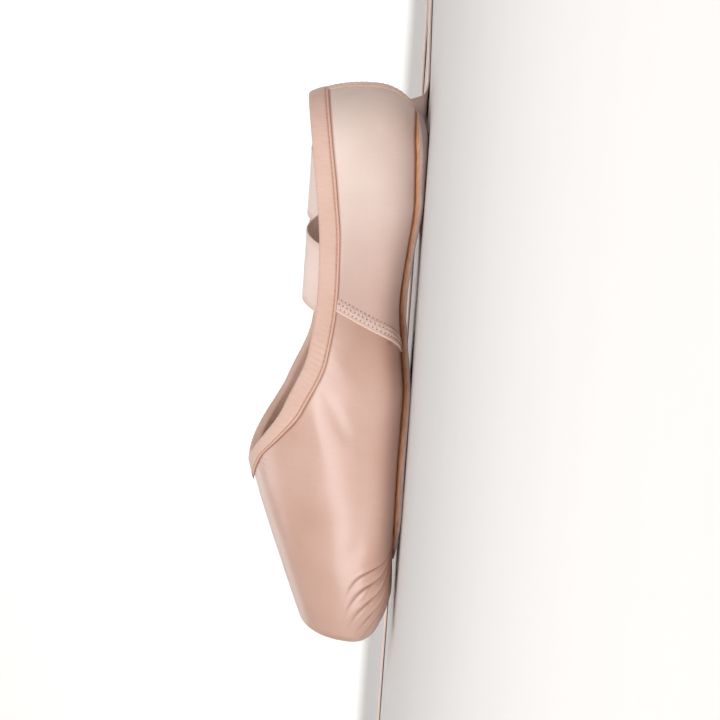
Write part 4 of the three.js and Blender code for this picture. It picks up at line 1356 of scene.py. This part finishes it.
def make_side_seams():
    point = seam_surface()
    up = np.linspace(0, 1, SEAM_ROWS)
    across = np.linspace(-SEAM_WIDTH / 2, SEAM_WIDTH / 2, SEAM_ACROSS)
    share, shift = np.meshgrid(up, across, indexing="ij")
    points = point(share, shift)
    flat = SEAM_THICKNESS * (1 - SEAM_THINNING * smooth_step(*SEAM_THIN_ZONE, across))
    ridge = bump_at(across - SEAM_RIDGE_AT, SEAM_RIDGE_WIDTH)
    groove = bump_at(across - SEAM_GROOVE_AT, SEAM_GROOVE_WIDTH)
    heights = flat + SEAM_RIDGE * ridge - SEAM_GROOVE * groove
    layers = strip_layers(points, last_normal(points), np.broadcast_to(heights, share.shape))
    zigzag_up = np.linspace(*ZIGZAG_ENDS, ZIGZAG_POINTS)
    reach = ZIGZAG_REACH * np.where(np.arange(ZIGZAG_POINTS) % 2, 1, -1)
    corners = []
    for middle, way in zip(ZIGZAG_ROWS, (1, -1)):
        row = point(zigzag_up, middle + way * reach)
        lift = np.interp(middle + way * reach, across, flat) + ZIGZAG_LIFT
        corners.append(row + last_normal(row) * lift[:, None])
    for word, side in SIDES.items():
        turn = np.array([1, -side, 1])
        piece, (_, row, column) = layered_piece(
            f"seam_band_{word}", [layer * turn for layer in layers], [SEAM_SATIN], 50
        )
        # The edge colour here is a painted highlight along the ridge
        lay = np.stack([up[row] * SEAM_LENGTH, across[column], SEAM_RIDGE_HIGHLIGHT * ridge[column]], -1)
        set_attribute(piece, "lay", lay)
        attach(piece, "satin", f"side_seam_{word}")
        rows = [line * turn for line in corners]
        middles = np.concatenate([(line[1:] + line[:-1]) / 2 for line in rows])
        runs = np.concatenate([line[1:] - line[:-1] for line in rows])
        normals = last_normal(middles)
        sew(f"seam_stitches_{word}", middles, runs, normals, ZIGZAG_STITCH, PALE_THREAD, "satin")
        # Dark dots of painted shade at the needle holes, where the zigzag's corners meet
        holes = np.concatenate(rows)
        runs = np.gradient(holes, axis=0)
        sew(f"seam_holes_{word}", holes, runs, last_normal(holes), NEEDLE_HOLE, NEEDLE_HOLE_SHADE, "satin")


make_side_seams()

# Back tape, with a groove down its middle and a swelling along either edge
TAPE_ROWS = 60
TAPE_ACROSS = 17
TAPE_LENGTH = 40.0  # for the scale of the cloth's pattern
TAPE_THICKNESS = 0.5
TAPE_FOOT = 2.2  # from the outsole's edge
TAPE_GROOVE = 0.22
TAPE_GROOVE_WIDTH = 0.45
TAPE_GROOVE_LINE = 0.5  # width of the shadow in it
TAPE_GROOVE_SHADE = 0.8
TAPE_SWELLING = 0.1
TAPE_SWELLING_AT = 4.2
TAPE_SWELLING_WIDTH = 0.8
TAPE_STITCH = (1.4, 0.34)
TAPE_STITCH_PITCH = 2.2
TAPE_STITCH_LIFT = 0.1
TAPE_STITCH_COLUMNS = (2, TAPE_ACROSS - 3)


def make_back_tape():
    half_angle = TAPE_WIDTH / 2 / (HEEL_BACK - SPINE_HEEL)
    shares = np.linspace(-1, 1, TAPE_ACROSS)
    columns = make_columns(SPINE_HEEL, SPINE_HEEL, math.pi + half_angle * shares)
    up = np.linspace(0, 1, TAPE_ROWS)
    low = columns["sole_length"] + TAPE_FOOT
    high = columns["length"] - BINDING_OUTSIDE + STRIP_UNDER_BINDING
    points = up_columns(columns, low[:, None] + (high - low)[:, None] * up).transpose(1, 0, 2)
    normals = last_normal(points)
    shift = shares * TAPE_WIDTH / 2
    heights = TAPE_THICKNESS - TAPE_GROOVE * bump_at(shift, TAPE_GROOVE_WIDTH)
    heights += TAPE_SWELLING * bump_at(np.abs(shift) - TAPE_SWELLING_AT, TAPE_SWELLING_WIDTH)
    layers = strip_layers(points, normals, np.broadcast_to(heights, points.shape[:2]))
    piece, (_, row, column) = layered_piece("heel_tape", layers, [TAPE_SATIN], 50)
    # Painted shadow down the groove
    line = TAPE_GROOVE_SHADE * bump_at(shift, TAPE_GROOVE_LINE)
    set_attribute(piece, "lay", np.stack([up[row] * TAPE_LENGTH, shift[column], line[column]], -1))
    attach(piece, "satin", "back_tape")
    top = points + normals * (TAPE_THICKNESS + TAPE_STITCH_LIFT)
    rows = [spread_along(top[:, column], TAPE_STITCH_PITCH) for column in TAPE_STITCH_COLUMNS]
    middles, runs = (np.concatenate(parts) for parts in zip(*rows))
    sew("heel_tape_stitches", middles, runs, last_normal(middles), TAPE_STITCH, PALE_THREAD, "satin")


make_back_tape()

# Plates: outsole and sock
END_CROWDING = 0.35  # how much the stations crowd together at both rounded ends
LEAST_WIDTH = 0.6  # share of the width that an inset leaves at the least
SOLE_ROWS = 300
SOLE_ACROSS = 72
SOLE_GAP = 0.12  # below the upper
SCALE_PITCH = 4.3  # of the pressed scale marks on the forefoot
SCALE_DEPTH = 0.22
SCALE_START = 0.15  # of a crescent in its row, in pitches
SCALE_RADIUS = 0.5
SCALE_NARROWING = 1.15
SCALE_LINE = 0.1
# How dark the scale marks are: partly the pressed suede's own colour, partly painted shade in their grooves
SCALE_SHADE = 0.7
SCALES_START = (37, 44)  # from the toe
SCALES_END = (122, 130)
SCALES_SIDE = (0.9, 0.98)  # shares of the half width between which they run out
# Painted shade on the sole's top face, which lies under the upper
SOLE_TOP_SHADE = 0.8
# Rim of the sole from its lower face up: how far in from the outline, and where between the faces.
# Up to SUEDE_LAYER it is sueded, then comes the stained edge, and a groove under the upper.
SOLE_RIM = [
    (0.8, 0.0), (0.3, 0.05), (0.08, 0.17), (0.0, 0.36), (0.0, 0.68), (0.25, 0.82), (1.0, 0.88), (1.2, 1.0),
]
SUEDE_LAYER = 3
# Both ends are skived thin: the tip runs out among the pleats, the other under the heel's curve
SOLE_SKIVE = table("from_toe thickness", [(33, 0.8), (42, 1.8), (58, 3.0), (214, 3.0), (225, 1.1)])
SOCK_ROWS = 130
SOCK_ACROSS = 34
SOCK_THICKNESS = 1.9
SOCK_GAP = 0.2
SOCK_RIM = [(0.5, 0.0), (0.0, 0.4), (0.15, 0.8), (0.8, 1.0)]


def ended_stations(start, end, count):
    """Stations that crowd together at both rounded ends."""
    share = (np.arange(count) + 0.5) / count
    eased = 0.5 - 0.5 * np.cos(math.pi * share)
    return start + (end - start) * (share + (eased - share) * END_CROWDING)


def plate_layers(stations, shares, half_width_at, lower_at, upper_at, rim):
    half = half_width_at(stations)
    layers = []
    for inset, level in rim:
        y = shares[None, :] * np.maximum(half - inset, LEAST_WIDTH * half)[:, None]
        at = np.broadcast_to(stations[:, None], y.shape)
        lower = lower_at(at, y)
        layers.append(place(at, y, lower + (upper_at(at, y) - lower) * level))
    return layers


def scale_marks(from_toe, y):
    """Pressed crescents in offset rows over the forefoot, from 0 to 1."""
    row = np.floor(from_toe / SCALE_PITCH)
    across = y / SCALE_PITCH + 0.5 * (row % 2)
    x = from_toe / SCALE_PITCH - row - SCALE_START
    y_part = across - np.floor(across) - 0.5
    mark = bump_at(np.hypot(x, y_part * SCALE_NARROWING) - SCALE_RADIUS, SCALE_LINE) * (x > 0)
    return mark * smooth_step(*SCALES_START, from_toe) * (1 - smooth_step(*SCALES_END, from_toe))


def make_outsole():
    def upper_at(at, y):
        return underside_at(at, y) - SOLE_GAP

    def lower_at(at, y):
        skived = upper_at(at, y) - along(SOLE_SKIVE, "thickness", at)
        return np.maximum(along(SOLE_RISE, "rise", at), skived)

    stations = ended_stations(SOLE_START, SOLE_END, SOLE_ROWS)
    shares = np.linspace(-1, 1, SOLE_ACROSS)
    layers = plate_layers(stations, shares, sole_half_width, lower_at, upper_at, SOLE_RIM)
    marks = scale_marks(from_toe_of(layers[0]), layers[0][..., 1])
    marks *= 1 - smooth_step(*SCALES_SIDE, np.abs(shares))
    layers[0][..., 2] += SCALE_DEPTH * marks
    piece, (layer, row, column) = layered_piece("leather_sole", layers, [SOLE_SUEDE, SOLE_EDGE])
    top = len(SOLE_RIM) - 1
    corner_layer = layer[face_corners(piece)]
    set_face_materials(piece, (corner_layer.max(1) > SUEDE_LAYER) & (corner_layer.min(1) < top))
    # Painted shade, partly, in the scale marks on the lower face, and on the whole top face under the upper
    shade = np.where(layer == 0, SCALE_SHADE * marks[row, column], 0)
    set_attribute(piece, "shade", np.where(layer == top, SOLE_TOP_SHADE, shade))
    attach(piece, "sole_leather", "outsole")


def make_sock():
    def half_width_at(at):
        into_toe = (INSOLE_START + INSOLE_TOE_ROUND - at) / INSOLE_TOE_ROUND
        into_heel = (at - INSOLE_END + INSOLE_HEEL_ROUND) / INSOLE_HEEL_ROUND
        return along(SECTIONS, "half_width", at) * INSOLE_SHARE * end_rounding(into_toe, into_heel)

    def lower_at(at, y):
        return underside_at(at, y) + along(WALL, "thickness", at) + SOCK_GAP

    def upper_at(at, y):
        return lower_at(at, y) + SOCK_THICKNESS

    stations = ended_stations(INSOLE_START, INSOLE_END, SOCK_ROWS)
    shares = np.linspace(-1, 1, SOCK_ACROSS)
    layers = plate_layers(stations, shares, half_width_at, lower_at, upper_at, SOCK_RIM)
    piece, _ = layered_piece("cotton_sock", layers, [SOCK_COTTON], 50)
    attach(piece, "lining", "insole")


make_outsole()
make_sock()

# Stage and light, in metres
FLOOR_SIZE = 8.0
FLOOR_MIDDLE = (0, -1.5, 0)
WALL_HEIGHT = 5.0
SWEEP_RADIUS = 1.5
SWEEP_SEGMENTS = 24


def make_floor():
    """A seamless pale sweep of matte paper: floor, then a wide curve up to the wall behind."""
    material, tree, place_in = new_material("matte_paper_backdrop")
    grain = add_node(tree, "TexNoise", inputs={"Vector": place_in, "Scale": 1 / (60 * MM), "Detail": 2.0})
    tone = add_node(tree, "Mix", MIX_COLOURS, {"Factor": grain, "A": colour("E4E1DF"), "B": colour("E7E4E2")})
    end_material(tree, {"Base Color": tone, "Roughness": 0.7, "Specular IOR Level": 0.2})
    bpy.ops.mesh.primitive_plane_add(size=FLOOR_SIZE, location=FLOOR_MIDDLE)
    floor = bpy.context.object
    floor.name = "paper_sweep"
    bpy.ops.object.transform_apply(location=True, rotation=False, scale=False)
    bpy.ops.object.mode_set(mode="EDIT")
    bpy.ops.mesh.select_mode(type="EDGE")
    bpy.ops.mesh.select_all(action="DESELECT")
    bpy.ops.object.mode_set(mode="OBJECT")
    for edge in floor.data.edges:
        edge.select = all(floor.data.vertices[v].co.y > 0 for v in edge.vertices)
    bpy.ops.object.mode_set(mode="EDIT")
    bpy.ops.mesh.extrude_region_move(TRANSFORM_OT_translate={"value": (0, 0, WALL_HEIGHT)})
    bpy.ops.object.mode_set(mode="OBJECT")
    bend = floor.modifiers.new("bend", "BEVEL")
    bend.width = SWEEP_RADIUS
    bend.segments = SWEEP_SEGMENTS
    bend.limit_method = "ANGLE"
    bpy.ops.object.modifier_apply(modifier="bend")
    bpy.ops.object.shade_smooth()
    floor.data.materials.append(material)
    floor.select_set(False)


make_floor()


def add_light(name, place_at, aim, size, power, roll=0):
    """A soft box that faces its aim. Roll turns its long side, in degrees."""
    bpy.ops.object.light_add(type="AREA", location=place_at)
    light = bpy.context.object
    light.name = name
    light.data.shape = "RECTANGLE"
    light.data.size, light.data.size_y = size
    light.data.energy = power
    facing = (Vector(aim) - Vector(place_at)).to_track_quat("-Z", "Y")
    light.rotation_euler = (facing @ Quaternion((0, 0, 1), math.radians(roll))).to_euler()
    light.select_set(False)


# The long box slants, so that its reflection runs down the wing from the collar to the pleats
add_light(
    "long_softbox", place_at=(-0.3, -1.5, 0.55), aim=(-0.05, 0, 0.03), size=(3.3, 0.36), power=22.5, roll=20
)
add_light("key_softbox", place_at=(0.45, -0.95, 0.85), aim=(0, 0, 0.02), size=(0.5, 0.35), power=2.6)
add_light("top_softbox", place_at=(-0.3, 0.35, 1.2), aim=(0, 0, 0.02), size=(0.9, 0.6), power=2.8)
add_light("rear_softbox", place_at=(-0.4, 1.3, 1.0), aim=(0, 0, 0.03), size=(1.4, 0.5), power=2.0)
add_light("backdrop_wash", place_at=(0, 0.7, 0.9), aim=(0, 3.0, 0.3), size=(3.0, 0.6), power=34.0)

world = bpy.data.worlds.new("soft_room")
world.use_nodes = True
world.node_tree.nodes["Background"].inputs["Color"].default_value = colour("FFFDFC")
world.node_tree.nodes["Background"].inputs["Strength"].default_value = 0.25
bpy.context.scene.world = world
bpy.context.scene.view_settings.view_transform = "Standard"
